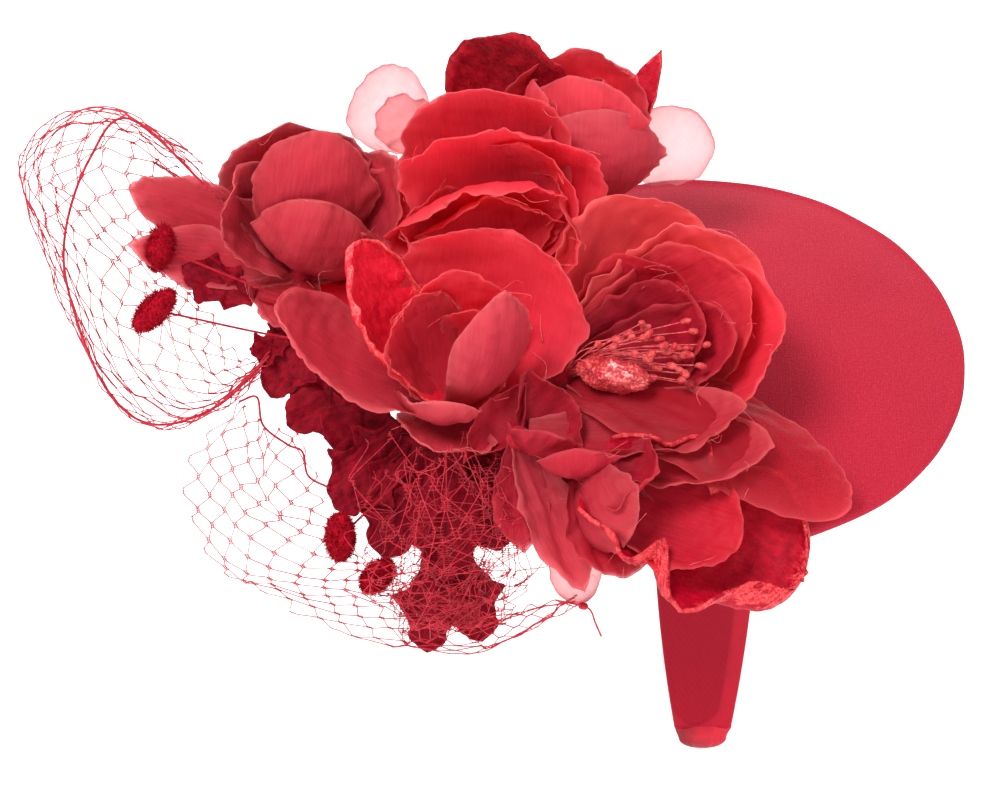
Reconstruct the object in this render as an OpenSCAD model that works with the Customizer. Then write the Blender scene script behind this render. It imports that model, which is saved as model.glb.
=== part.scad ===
// Fascinator headpiece: a tilted felt button base with a spray of fabric flowers, velvet
// leaves and netting, stitched to a sprung satin headband.
// +X is the wearer's front-to-back line, +Y runs from the trimmed ear to the other ear, +Z is up.
// The origin is on the inner face of the headband, at the crown.

/* [Headband] */
// Radius of the inner face over the crown
band_r = 66; // [65:0.5:67]
// Width over the crown
band_w = 34; // [28:1:36]
// Width at the lower end of each leg
leg_end_w = 19; // [17:0.5:22]
// Length of each leg below its flex line
leg_len = 72; // [66:1:74]
// Inward lean of each leg, in degrees
leg_lean = 4; // [2:1:5]
// Thickness of the spring strip
core_t = 1.2; // [1:0.1:1.4]
// Thickness of the satin over each face of the strip
satin_t = 1; // [0.8:0.1:1]
// Thickness of the twill ribbon
ribbon_t = 0.6; // [0.4:0.1:0.6]
// Gap between the crown and each leg where the band flexes
flex_gap = 0.6; // [0.5:0.1:1]

/* [Base] */
// Radius of the base to the outside of its edge binding
base_r = 88; // [86:1:90]
// Height of the dome above its rim
dome_h = 16; // [15.5:0.5:18]
// Tilt of the base towards the trimmed ear, in degrees
base_tilt = 30; // [28:1:32]
// Distance from the middle of the headband arc to the rim's plane
base_lift = 60; // [60:0.5:61]
// Thickness of the felt cover
cover_t = 1.8; // [1.4:0.1:1.8]
// Thickness of the stiff shell
shell_t = 1.6; // [1.2:0.1:1.6]
// Thickness of the lining
lining_t = 0.8; // [0.6:0.1:0.8]

/* [Flowers] */
// Thickness of a starched petal
petal_t = 1; // [0.8:0.1:1.2]
// Radius of a flower's calyx
calyx_r = 4; // [3.5:0.5:4.5]
// Diameter of a covered stem wire
stem_d = 2; // [1.8:0.1:2.4]
// Diameter of a stamen's tip
pip_d = 3; // [2.4:0.1:3.4]

/* [Netting] */
// Thickness of the netting as a solid sheet
veil_t = 1; // [0.8:0.1:1.2]
// Diameter of the gathered edge cord
cord_d = 1.4; // [1.2:0.1:1.8]

/* [Hidden] */
$fn = 48;
bead_fn = 5;
root_u = 0.2;
edge_d = 4.8;
wire_d = 1.6;
tip_len = 8;
leg_taper = 1.7;
thread_d = 0.8;
leaf_wire_d = 1.2;
crown_half = 86;
clear = 0.5;
ball_r = (base_r * base_r + dome_h * dome_h) / (2 * dome_h);
edge_ring_r = base_r - edge_d / 2;
stack_r = edge_ring_r - 1;
cover_in = ball_r - cover_t;
shell_in = cover_in - shell_t;
lining_in = shell_in - lining_t;
// Height of the middle of the stack at its edge, above the rim's plane
stack_z = dome_h - ball_r + sqrt(pow((ball_r + lining_in) / 2, 2) - pow(stack_r, 2));
band_t = core_t + 2 * satin_t;
band_out = band_r + band_t;
hinge_y = band_r * sin(crown_half);
hinge_z = -band_r * (1 - cos(crown_half)) - flex_gap / 2;
pad_at = [-52, -12];
pad_r = 16;
pad_top = 21;

// Where each flower's calyx sits
front_at = [-81, -75, -20];
main_at = [-68, -50, 17];
top_at = [-40, -22, 36];
left_at = [-134, -40, 18];
right_at = [-48, -72, -10];
side_at = [-62, -93, -25];
low_at = [-42, -108, -31];
calyxes = [front_at, main_at, top_at, left_at, right_at, side_at, low_at];
// Where the stems are bound together
spray_at = [-54, -54, 2];

// A petal row: reach from the calyx to the tip, the way its hollow side faces, width,
// bow of its middle line, cup angle, and how sharp its tip is (0.4 round, 1 pointed)
front_outer = [
    [[-62, -8, 36], [0.5, -0.4, 0.8], 42, 9, 48, 0.4],
    [[14, -24, 46], [-0.6, 0.8, 0.1], 32, 10, 48, 0.9],
    [[18, 6, 62], [-0.2, -0.9, 0.1], 66, 8, 38, 0.5],
    [[-8, -22, -8], [0.1, -0.4, 0.9], 34, 5, 40, 0.5]
];
front_inner = [
    [[-2, -4, 50], [0.1, -0.9, 0.1], 44, 7, 40, 0.5],
    [[-18, -10, 42], [0.6, -0.8, 0.1], 32, 7, 45, 0.5],
    [[8, -6, 36], [-0.5, -0.8, 0.1], 30, 6, 45, 0.5]
];
front_velvet = [
    [[-36, -6, 58], [0.8, -0.6, 0.1], 34, 8, 45, 0.5]
];
main_outer = [
    [[0, 2, 60], [0, -0.9, -0.2], 66, 9, 40, 0.45],
    [[-8, 10, 68], [0, -0.9, -0.2], 54, 7, 35, 0.45],
    [[24, -2, 34], [-0.8, -0.5, 0.1], 46, 8, 45, 0.5]
];
main_inner = [
    [[-14, -10, 42], [0, -0.9, -0.3], 60, 9, 45, 0.45],
    [[-34, -6, 22], [0.7, -0.7, 0.1], 40, 6, 40, 0.5]
];
top_outer = [
    [[6, -14, 36], [-0.2, 0.9, 0.2], 48, 10, 48, 0.4],
    [[-4, 14, 54], [0, -0.9, 0.1], 48, 9, 45, 0.45],
    [[-22, -4, 44], [0.8, 0.1, 0.2], 42, 8, 45, 0.5],
    [[10, 4, 44], [-0.8, -0.2, 0.1], 34, 6, 45, 0.5]
];
top_velvet = [
    [[-40, 8, 57], [0.2, -0.7, -0.6], 44, 8, 35, 0.6],
    [[26, 16, 50], [-0.3, -0.9, 0.2], 12, 3, 25, 1]
];
left_outer = [
    [[-4, 4, 54], [0.1, -0.9, 0.1], 46, 7, 40, 0.45],
    [[-54, -8, 26], [0.2, -0.7, -0.5], 32, 9, 30, 0.6],
    [[8, -12, 50], [-0.1, 0.9, 0.1], 40, 8, 48, 0.5],
    [[32, -4, 40], [-0.6, -0.7, 0.2], 32, 7, 35, 0.7],
    [[-22, -8, 38], [0.6, -0.7, 0.2], 36, 6, 40, 0.5]
];
left_inner = [
    [[10, -20, 28], [0, 0.8, 0.3], 40, 9, 50, 0.5],
    [[-56, -14, 12], [0.3, -0.8, 0.3], 20, 5, 25, 0.9]
];
right_outer = [
    [[44, 24, 51], [-0.2, -0.8, -0.3], 60, 9, 35, 0.5],
    [[66, 14, 39], [-0.4, -0.8, -0.2], 46, 9, 40, 0.5],
    [[79, -4, 20], [-0.6, -0.6, 0.4], 50, 10, 50, 0.5],
    [[58, -16, -5], [-0.1, -0.3, 0.9], 30, 7, 40, 0.6]
];
right_inner = [
    [[60, -8, 17], [-0.6, -0.7, 0.2], 26, 6, 45, 0.5],
    [[42, 10, 33], [-0.2, -0.9, 0], 36, 6, 40, 0.5]
];
right_sheer = [
    [[92, -36, -35], [0.1, 0.5, -0.85], 42, 12, 22, 0.5]
];
side_petals = [
    [[74, -6, 12], [0, -0.5, 0.9], 32, 6, 40, 0.6],
    [[82, -16, 2], [0, -0.5, 0.9], 36, 8, 45, 0.7],
    [[22, -20, -45], [0.4, -0.9, 0.1], 20, 3, 35, 1],
    [[2, -14, -34], [0.2, -0.9, 0.1], 18, 3, 35, 1]
];
low_petals = [
    [[14, -16, -21], [0, 0.5, 0.4], 36, 5, 40, 0.45],
    [[18, -8, -32], [0.2, -0.9, 0.2], 30, 3, 35, 0.5],
    [[52, -14, -22], [0, -0.8, 0.6], 38, 6, 45, 0.5]
];
low_velvet = [
    [[74, -8, -37], [0.1, -0.8, 0.6], 62, 5, 45, 0.45]
];

// Free rows start with their own root, and go on as a petal row does
sheer_loops = [
    [[-91, -30, 58], [-24, -2, 22], [0.3, -0.9, 0.2], 30, 4, 25, 0.4],
    [[-91, -40, 56], [-14, -6, 22], [0, -0.9, 0.1], 20, 3, 25, 0.8],
    [[-22, -8, 42], [22, 4, 20], [-0.3, -0.9, 0.1], 28, 3, 20, 0.5],
    [[-46, -106, -38], [4, -4, -40], [0.1, -0.9, 0], 16, 2, 20, 0.5]
];
left_leaves = [
    [[-148, -46, 10], [-24, -4, 12], [0, -0.8, 0.5], 20, 2, 15, 1],
    [[-138, -50, -2], [-12, -6, -4], [0, -0.8, 0.5], 14, 2, 15, 1],
    [[-130, -50, 8], [-14, -8, -28], [-0.4, -0.8, 0.2], 30, 3, 25, 0.9],
    [[-116, -58, -14], [-22, -6, -14], [0, -0.8, 0.4], 22, 2, 15, 1]
];
low_leaves = [
    [[-98, -72, -26], [-24, -8, -26], [-0.3, -0.9, 0.1], 32, 3, 30, 0.9],
    [[-94, -76, -28], [-12, -8, -40], [-0.1, -0.9, 0.1], 32, 3, 30, 0.9],
    [[-86, -82, -30], [0, -8, -44], [0, -0.9, 0.1], 34, 3, 30, 0.9],
    [[-78, -78, -30], [10, 2, -38], [0.1, -0.9, 0.1], 30, 3, 30, 0.9]
];
grape_leaf = [
    [[-88, -80, -66], [-4, -6, -34], [0, -0.9, 0.2], 30, 2, 20, 0.9],
    [[-82, -80, -66], [8, -6, -30], [0, -0.9, 0.2], 26, 2, 20, 0.9]
];
// The netting bunched in front of the leaves
veil_bunch = [
    [[-86, -92, -30], [4, -12, -54], [0, 0.9, 0.1], 40, 5, 45, 0.5]
];

// Stamen tips, as reaches from the right flower's calyx
stamens = [
    [22, -16, 24], [30, -14, 22], [36, -16, 18], [40, -12, 14], [44, -14, 10], [34, -20, 12],
    [46, -10, 18], [28, -20, 17], [38, -18, 5], [16, -18, 20], [42, -8, 24], [26, -10, 28]
];

// Pompons: middle, half-axis from the middle to an end's centre, and radius
pompons_at = [
    [[-180, -50, 28], [1, 0, 4], 5],
    [[-182, -54, 8], [4, 0, 4], 5],
    [[-120, -94, -58], [0, 0, 4], 5.5],
    [[-108, -92, -72], [2, 0, 2], 5]
];

// The large loop of netting, edge by edge from its front cord over the fold and round behind
// to where it is gathered; each edge runs from the lower flowers round to the upper ones
left_veil_edges = [
    [
        [-144, -60, -6], [-161, -68, -21], [-182, -72, -26], [-197, -74, -13], [-208, -74, 18],
        [-209, -72, 39], [-201, -68, 62], [-188, -62, 74], [-160, -56, 46]
    ],
    [
        [-143, -45, -11], [-160, -45, -26], [-180, -46, -32], [-201, -48, -14], [-216, -48, 22],
        [-226, -46, 50], [-217, -45, 68], [-196, -45, 74], [-170, -44, 60]
    ],
    [
        [-143, -18, -15], [-157, -16, -29], [-175, -14, -32], [-193, -12, -12], [-205, -12, 19],
        [-213, -14, 39], [-207, -16, 54], [-193, -18, 58], [-174, -20, 46]
    ],
    [
        [-144, -28, -11], [-150, -26, -16], [-158, -24, -13], [-165, -22, -2], [-169, -22, 8],
        [-170, -24, 18], [-168, -26, 27], [-164, -28, 34], [-158, -30, 34]
    ]
];
// The lower fall of netting, from its free edge in to where it is gathered
low_veil_edges = [
    [
        [-154, -60, -22], [-165, -62, -31], [-172, -66, -43], [-170, -72, -58], [-162, -80, -73],
        [-139, -88, -84], [-110, -94, -93], [-78, -98, -97], [-40, -96, -78]
    ],
    [
        [-134, -64, -33], [-130, -68, -42], [-126, -76, -51], [-120, -84, -58], [-112, -96, -64],
        [-100, -100, -68], [-88, -104, -73], [-72, -106, -79], [-48, -102, -76]
    ]
];
// The zigzag cord that draws up the lower netting
low_cord_route = [
    [-154, -62, -21], [-148, -64, -19], [-146, -66, -28], [-138, -68, -34], [-133, -70, -36],
    [-131, -74, -43], [-124, -78, -46]
];

// The soft pieces in the order they are sewn on: each is cut back where an earlier one passes
SOFT = [
    "calyxes", "flower_stems", "glitter_cone", "stamen_pips", "stamen_threads",
    "front_velvet_petal", "front_outer_petals", "front_inner_petals", "main_inner_petals",
    "main_outer_petals", "top_outer_petals", "left_inner_petals", "left_outer_petals",
    "side_spray_petals", "low_velvet_petal", "low_inner_petals", "right_inner_petals",
    "right_outer_petals", "right_sheer_petal", "top_velvet_petals", "organza_loops", "pompons",
    "jagged_velvet_leaf", "low_velvet_leaves", "left_velvet_leaves", "leaf_wires",
    "pompon_wires", "left_veil_cord", "low_veil_cord", "left_veil", "low_veil", "bunched_veil"
];

function unit(v) = v / norm(v);

// How wide a petal is, from 0 to 1, at u from root to tip
function fullness(u, sharp) = u < 0.6
    ? 0.2 + 0.8 * sin(150 * u)
    : pow(1 - pow((u - 0.6) / 0.4, 2), sharp);

// A point on a petal at u from root to tip and v from -1 to 1 across, moved off the
// middle surface by side
function petal_point(at, row, u, v, side) =
    let (tip = at + row[0])
    let (along = unit(row[0]))
    let (face = unit(row[1] - along * (row[1] * along)))
    let (mid = (at + tip) / 2 - face * 2 * row[3])
    let (p = pow(1 - u, 2) * at + 2 * u * (1 - u) * mid + u * u * tip)
    let (t = unit(2 * (1 - u) * (mid - at) + 2 * u * (tip - mid)))
    let (s = unit(cross(t, face)))
    let (n = cross(s, t))
    let (r = row[2] / 2 * fullness(u, row[5]) / sin(row[4]))
    p + s * (r - side) * sin(row[4] * v) + n * (r - (r - side) * cos(row[4] * v));

// A closed thin solid between two grids of points, each (rows + 1) by (cols + 1)
module skin(upper, lower, rows, cols) {
    w = cols + 1;
    h = rows + 1;
    top_faces = [for (i = [0:rows - 1]) for (j = [0:cols - 1])
        each [[i * w + j, i * w + j + 1, (i + 1) * w + j + 1],
              [i * w + j, (i + 1) * w + j + 1, (i + 1) * w + j]]];
    rim = [
        each [for (j = [0:cols - 1]) j],
        each [for (i = [0:rows - 1]) i * w + cols],
        each [for (j = [cols:-1:1]) rows * w + j],
        each [for (i = [rows:-1:1]) i * w]
    ];
    low_faces = [for (f = top_faces) [f[0] + w * h, f[2] + w * h, f[1] + w * h]];
    count = len(rim);
    side_faces = [for (k = [0:count - 1])
        let (a = rim[k])
        let (b = rim[(k + 1) % count])
        each [[b, a, a + w * h], [b, a + w * h, b + w * h]]];
    polyhedron(points = concat(lower, upper), faces = concat(top_faces, low_faces, side_faces));
}

module rod(a, b, d) {
    hull() {
        translate(a) sphere(d = d, $fn = bead_fn);
        translate(b) sphere(d = d, $fn = bead_fn);
    }
}

// One petal with the two short wires that hold its root
module petal(at, row, grow) {
    rows = 4;
    cols = 3;
    half = petal_t / 2 + grow;
    grid = [for (i = [0:rows]) for (j = [0:cols])
        [root_u + (0.97 - root_u) * i / rows, 2 * j / cols - 1]];
    skin(
        [for (g = grid) petal_point(at, row, g[0], g[1], half)],
        [for (g = grid) petal_point(at, row, g[0], g[1], -half)],
        rows, cols
    );
    foot = petal_point(at, row, root_u / 2, 0, 0);
    knee = petal_point(at, row, root_u * 1.1, 0, 0);
    rod(at, foot, petal_t + 2 * grow);
    rod(foot, knee, petal_t + 2 * grow);
}

module petals(at, rows, grow) {
    for (row = rows) petal(at, row, grow);
}

// Petals that each start with their own root
module free_petals(rows, grow) {
    for (row = rows) petal(row[0], [for (k = [1:6]) row[k]], grow);
}

// A sheet through a list of edges that bulges towards the wearer's trimmed side by bulge
module veil_sheet(edges, cols, bulge, grow) {
    rows = len(edges[0]) - 1;
    spans = len(edges) - 1;
    half = veil_t / 2 + grow;
    grid = [for (i = [0:rows]) for (j = [0:cols])
        let (s = spans * j / cols)
        let (k = min(spans - 1, floor(s)))
        let (f = s - k)
        (1 - f) * edges[k][i] + f * edges[k + 1][i]
            + [0, -bulge * sin(180 * j / cols), 0]];
    w = cols + 1;
    function at(i, j) = grid[max(0, min(rows, i)) * w + max(0, min(cols, j))];
    normals = [for (i = [0:rows]) for (j = [0:cols])
        unit(cross(at(i + 1, j) - at(i - 1, j), at(i, j + 1) - at(i, j - 1)))];
    skin(
        [for (k = [0:len(grid) - 1]) grid[k] - normals[k] * half],
        [for (k = [0:len(grid) - 1]) grid[k] + normals[k] * half],
        rows, cols
    );
}

module rod_chain(points, d) {
    for (k = [0:len(points) - 2]) rod(points[k], points[k + 1], d);
}

// Base ------------------------------------------------------------------------------

module base_place() {
    translate([0, 0, -band_r])
        rotate([base_tilt, 0, 0])
            translate([0, 0, base_lift])
                children();
}

// A dome layer between two concentric balls
module dome_layer(outer, inner, radius) {
    intersection() {
        translate([0, 0, dome_h - ball_r])
            difference() {
                sphere(r = outer, $fn = 96);
                sphere(r = inner, $fn = 96);
            }
        translate([0, 0, -10]) cylinder(r = radius, h = 10 + 2 * dome_h);
    }
}

module base_cover() {
    color("#cc2f49") base_place() dome_layer(ball_r, cover_in, stack_r);
}

module base_shell() {
    color("#e8d8c8") base_place() dome_layer(cover_in, shell_in, stack_r);
}

module base_lining() {
    color("#8f1424") base_place() dome_layer(shell_in, lining_in, stack_r);
}

module rim_wire() {
    color("silver") base_place()
        translate([0, 0, stack_z])
            rotate_extrude($fn = 96) translate([edge_ring_r, 0]) circle(d = wire_d);
}

module edge_binding() {
    color("#b8233a") base_place()
        translate([0, 0, stack_z])
            rotate_extrude($fn = 96)
                difference() {
                    translate([edge_ring_r, 0]) circle(d = edge_d);
                    translate([edge_ring_r, 0]) circle(d = wire_d);
                    translate([stack_r - edge_d, -edge_d]) square([edge_d + 0.05, 2 * edge_d]);
                }
}

// The felt pad that the band is stitched to, between the band and the lining
module band_patch() {
    color("#b8233a") difference() {
        base_place()
            intersection() {
                translate([-13, -16, 0]) cube([26, 32, 30]);
                translate([0, 0, dome_h - ball_r]) sphere(r = lining_in - 0.05, $fn = 300);
            }
        translate([-30, 0, -band_r]) rotate([0, 90, 0])
            cylinder(r = band_out + ribbon_t + 0.05, h = 60, $fn = 300);
    }
}

// The felt disc that the flower stems are sewn to
module spray_pad() {
    color("#9c1a2c") base_place()
        difference() {
            translate([pad_at[0], pad_at[1], 0]) cylinder(r = pad_r, h = pad_top);
            translate([0, 0, dome_h - ball_r]) sphere(r = ball_r + 0.05, $fn = 96);
        }
}

// Everything of the base that the soft pieces have to clear
module base_envelope(grow) {
    base_place() {
        intersection() {
            translate([0, 0, dome_h - ball_r]) sphere(r = ball_r + grow, $fn = 96);
            translate([0, 0, -6]) cylinder(r = base_r + grow, h = 6 + 2 * dome_h);
        }
        translate([pad_at[0], pad_at[1], 0]) cylinder(r = pad_r + grow, h = pad_top + grow);
    }
}

// Headband --------------------------------------------------------------------------

// A strip bent over the crown, between two radii
module crown_strip(inner, outer, width) {
    translate([0, 0, -band_r])
        rotate([0, 90, 0])
            rotate([0, 0, 180 - crown_half])
                rotate_extrude(angle = 2 * crown_half, $fn = 96)
                    translate([inner, -width / 2]) square([outer - inner, width]);
}

module crown_spring() {
    color("#bfc4c9") crown_strip(band_r + satin_t, band_r + satin_t + core_t, band_w - 4);
}

module crown_satin() {
    color("#b02438") difference() {
        crown_strip(band_r, band_out, band_w);
        crown_strip(band_r + satin_t, band_r + satin_t + core_t, band_w - 4);
    }
}

module crown_ribbon() {
    color("#a8243a") crown_strip(band_out, band_out + ribbon_t, band_w - 6);
}

// The near leg hangs on the side of the trimmed ear, and the far leg mirrors it
module leg_place() {
    translate([0, -hinge_y, hinge_z])
        rotate([leg_lean, 0, 0])
            children();
}

// Half the width of a leg at drop below its flex line; it narrows fastest near the end
function leg_half(drop) = (band_w - (band_w - leg_end_w) * pow(drop / leg_len, leg_taper)) / 2;

// A tapered flat plate, from the flex line down to drop, between depths a and b outwards
module leg_plate(a, b, inset, drop) {
    right = [for (k = [0:8]) [leg_half(drop * k / 8) - inset, -drop * k / 8]];
    left = [for (k = [8:-1:0]) [inset - leg_half(drop * k / 8), -drop * k / 8]];
    translate([0, -a, -flex_gap / 2])
        rotate([90, 0, 0])
            linear_extrude(b - a)
                polygon(concat(right, left));
}

module leg_spring() {
    leg_place() leg_plate(satin_t, satin_t + core_t, 2, leg_len - 1);
}

module leg_satin() {
    leg_place() difference() {
        leg_plate(0, band_t, 0, leg_len);
        leg_plate(satin_t, satin_t + core_t, 2, leg_len - 1);
    }
}

module leg_ribbon() {
    leg_place() leg_plate(band_t, band_t + ribbon_t, 3, leg_len);
}

// The gathered satin that finishes the lower end
module tip_wrap() {
    leg_place()
        translate([0, -band_t / 2, -leg_len - flex_gap / 2 - 0.05])
            hull() {
                for (side = [-1, 1]) {
                    translate([side * (leg_end_w / 2 - 4.4), 0, -2.6]) sphere(d = 5, $fn = 12);
                    translate([side * (leg_end_w / 2 - 5.4), 0, 2 - tip_len]) sphere(d = 4, $fn = 12);
                }
            }
}

module near_leg_spring() { color("#bfc4c9") leg_spring(); }
module near_leg_satin() { color("#c02c42") leg_satin(); }
module near_leg_ribbon() { color("#a8243a") leg_ribbon(); }
module near_tip_wrap() { color("#c02c42") tip_wrap(); }
module far_leg_spring() { color("#bfc4c9") mirror([0, 1, 0]) leg_spring(); }
module far_leg_satin() { color("#c02c42") mirror([0, 1, 0]) leg_satin(); }
module far_leg_ribbon() { color("#a8243a") mirror([0, 1, 0]) leg_ribbon(); }
module far_tip_wrap() { color("#c02c42") mirror([0, 1, 0]) tip_wrap(); }

// Flower hearts, stems and stamens --------------------------------------------------

module calyx(at, grow) {
    translate(at) sphere(r = calyx_r + grow, $fn = 16);
}

module stems_shape(grow) {
    for (at = calyxes) {
        knee = (at + spray_at) / 2 + [0, 6, -4];
        rod_chain([at, knee, spray_at], stem_d + 2 * grow);
    }
}

module cone_shape(grow) {
    hull() {
        translate(right_at + [8, -8, 5]) sphere(r = 4 + grow, $fn = 12);
        translate(right_at + [18, -15, 4]) sphere(r = 5.5 + grow, $fn = 12);
        translate(right_at + [24, -18, 4]) sphere(r = 3.5 + grow, $fn = 12);
    }
}

module threads_shape(grow) {
    for (reach = stamens) {
        knee = right_at + reach * 0.5 + [0, 0, 3];
        rod_chain([right_at, knee, right_at + reach], thread_d + 2 * grow);
    }
}

module pips_shape(grow) {
    for (reach = stamens) rod(right_at + reach, right_at + reach * 1.06, pip_d + 2 * grow);
}

// Leaf wires, pompons and netting ---------------------------------------------------

module leaf_wires_shape(grow) {
    for (row = concat(left_leaves, low_leaves, grape_leaf)) {
        knee = (row[0] + spray_at) / 2 + [-4, 4, -6];
        rod_chain([row[0], knee, spray_at + [-4, 2, -3]], leaf_wire_d + 2 * grow);
    }
}

module pompons_shape(grow) {
    for (p = pompons_at) rod(p[0] - p[1], p[0] + p[1], 2 * (p[2] + grow));
}

module pompon_wires_shape(grow) {
    for (p = pompons_at) {
        knee = (p[0] + spray_at) / 2 + [-6, 0, -8];
        rod_chain([p[0], knee, spray_at + [-6, 4, -4]], thread_d + 2 * grow);
    }
}

module soft(name, grow) {
    if (name == "calyxes") for (at = calyxes) calyx(at, grow);
    if (name == "flower_stems") stems_shape(grow);
    if (name == "glitter_cone") cone_shape(grow);
    if (name == "stamen_pips") pips_shape(grow);
    if (name == "stamen_threads") threads_shape(grow);
    if (name == "front_velvet_petal") petals(front_at, front_velvet, grow);
    if (name == "front_outer_petals") petals(front_at, front_outer, grow);
    if (name == "front_inner_petals") petals(front_at, front_inner, grow);
    if (name == "main_inner_petals") petals(main_at, main_inner, grow);
    if (name == "main_outer_petals") petals(main_at, main_outer, grow);
    if (name == "top_outer_petals") petals(top_at, top_outer, grow);
    if (name == "top_velvet_petals") petals(top_at, top_velvet, grow);
    if (name == "left_inner_petals") petals(left_at, left_inner, grow);
    if (name == "left_outer_petals") petals(left_at, left_outer, grow);
    if (name == "right_inner_petals") petals(right_at, right_inner, grow);
    if (name == "right_outer_petals") petals(right_at, right_outer, grow);
    if (name == "right_sheer_petal") petals(right_at, right_sheer, grow);
    if (name == "side_spray_petals") petals(side_at, side_petals, grow);
    if (name == "low_inner_petals") petals(low_at, low_petals, grow);
    if (name == "low_velvet_petal") petals(low_at, low_velvet, grow);
    if (name == "organza_loops") free_petals(sheer_loops, grow);
    if (name == "pompons") pompons_shape(grow);
    if (name == "jagged_velvet_leaf") free_petals(grape_leaf, grow);
    if (name == "low_velvet_leaves") free_petals(low_leaves, grow);
    if (name == "left_velvet_leaves") free_petals(left_leaves, grow);
    if (name == "leaf_wires") leaf_wires_shape(grow);
    if (name == "pompon_wires") pompon_wires_shape(grow);
    if (name == "left_veil_cord") rod_chain(left_veil_edges[0], cord_d + 2 * grow);
    if (name == "low_veil_cord") rod_chain(low_cord_route, cord_d + 2 * grow);
    if (name == "left_veil") veil_sheet(left_veil_edges, 3, 0, grow);
    if (name == "low_veil") veil_sheet(low_veil_edges, 3, 6, grow);
    if (name == "bunched_veil") free_petals(veil_bunch, grow);
}

// One soft node, less everything sewn on before it
module soft_node(name, tint) {
    rank = search([name], SOFT)[0];
    color(tint) difference() {
        soft(name, 0);
        for (k = [0:rank - 1]) soft(SOFT[k], clear);
        base_envelope(clear);
    }
}

base_cover();
base_shell();
base_lining();
rim_wire();
edge_binding();
band_patch();
spray_pad();
crown_spring();
crown_satin();
crown_ribbon();
near_leg_spring();
near_leg_satin();
near_leg_ribbon();
near_tip_wrap();
far_leg_spring();
far_leg_satin();
far_leg_ribbon();
far_tip_wrap();
color("#7d1322") calyx(front_at, 0);  // front_calyx
color("#7d1322") calyx(main_at, 0);  // main_calyx
color("#7d1322") calyx(top_at, 0);  // top_calyx
color("#7d1322") calyx(left_at, 0);  // left_calyx
color("#7d1322") calyx(right_at, 0);  // right_calyx
color("#7d1322") calyx(side_at, 0);  // side_calyx
color("#7d1322") calyx(low_at, 0);  // low_calyx
soft_node("flower_stems", "#7d1322");  // flower_stems
soft_node("glitter_cone", "#d84d54");  // glitter_cone
soft_node("stamen_threads", "#c8565c");  // stamen_threads
soft_node("stamen_pips", "#ad313d");  // stamen_pips
soft_node("front_velvet_petal", "#d23a44");  // front_velvet_petal
soft_node("front_inner_petals", "#d8333f");  // front_inner_petals
soft_node("front_outer_petals", "#c43240");  // front_outer_petals
soft_node("main_inner_petals", "#de3b44");  // main_inner_petals
soft_node("main_outer_petals", "#d6353f");  // main_outer_petals
soft_node("top_outer_petals", "#d43a46");  // top_outer_petals
soft_node("top_velvet_petals", "#b01c30");  // top_velvet_petals
soft_node("left_inner_petals", "#c83040");  // left_inner_petals
soft_node("left_outer_petals", "#d03846");  // left_outer_petals
soft_node("right_inner_petals", "#c02034");  // right_inner_petals
soft_node("right_outer_petals", "#d84050");  // right_outer_petals
soft_node("side_spray_petals", "#cc3644");  // side_spray_petals
soft_node("low_inner_petals", "#cf3a48");  // low_inner_petals
soft_node("low_velvet_petal", "#b8182e");  // low_velvet_petal
soft_node("right_sheer_petal", "#e0707c");  // right_sheer_petal
soft_node("organza_loops", "#e8b4b8");  // organza_loops
soft_node("left_velvet_leaves", "#94182b");  // left_velvet_leaves
soft_node("low_velvet_leaves", "#94182b");  // low_velvet_leaves
soft_node("jagged_velvet_leaf", "#971b29");  // jagged_velvet_leaf
soft_node("leaf_wires", "#7d1322");  // leaf_wires
soft_node("pompons", "#98172d");  // pompons
soft_node("pompon_wires", "#7d1322");  // pompon_wires
soft_node("left_veil", "#e08090");  // left_veil
soft_node("left_veil_cord", "#b8233a");  // left_veil_cord
soft_node("low_veil", "#e08090");  // low_veil
soft_node("low_veil_cord", "#b8233a");  // low_veil_cord
soft_node("bunched_veil", "#b03040");  // bunched_veil
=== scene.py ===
import math

import bmesh
import bpy
import numpy as np
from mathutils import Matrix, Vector


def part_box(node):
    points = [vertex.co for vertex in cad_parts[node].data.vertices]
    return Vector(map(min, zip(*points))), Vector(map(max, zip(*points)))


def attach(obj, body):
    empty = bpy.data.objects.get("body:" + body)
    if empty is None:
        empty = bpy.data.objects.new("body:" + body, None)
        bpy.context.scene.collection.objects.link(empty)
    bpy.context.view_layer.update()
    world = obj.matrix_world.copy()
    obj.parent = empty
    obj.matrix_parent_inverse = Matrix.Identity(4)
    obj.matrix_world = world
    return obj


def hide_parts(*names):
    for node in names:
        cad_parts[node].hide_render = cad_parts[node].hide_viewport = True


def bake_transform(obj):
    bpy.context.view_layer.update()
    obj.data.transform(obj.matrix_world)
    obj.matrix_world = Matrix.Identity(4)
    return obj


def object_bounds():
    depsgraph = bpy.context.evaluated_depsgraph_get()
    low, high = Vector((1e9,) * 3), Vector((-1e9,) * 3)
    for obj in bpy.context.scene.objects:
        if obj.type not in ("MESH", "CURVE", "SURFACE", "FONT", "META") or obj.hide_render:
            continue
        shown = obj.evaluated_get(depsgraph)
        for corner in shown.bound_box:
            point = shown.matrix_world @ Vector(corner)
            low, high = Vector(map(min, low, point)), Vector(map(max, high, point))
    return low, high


# A fascinator headpiece: felt button base, organza and velvet flowers, velvet leaves,
# pompons and netting on a satin headband. Shapes are written in millimetres.

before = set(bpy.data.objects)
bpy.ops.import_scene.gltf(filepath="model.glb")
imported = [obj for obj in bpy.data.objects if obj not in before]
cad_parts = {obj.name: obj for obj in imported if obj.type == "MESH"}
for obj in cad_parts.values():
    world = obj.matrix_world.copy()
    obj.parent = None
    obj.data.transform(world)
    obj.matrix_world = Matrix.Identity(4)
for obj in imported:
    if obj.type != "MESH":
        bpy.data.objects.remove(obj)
cad_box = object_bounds()
MM = 0.001

# Camera --------------------------------------------------

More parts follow.
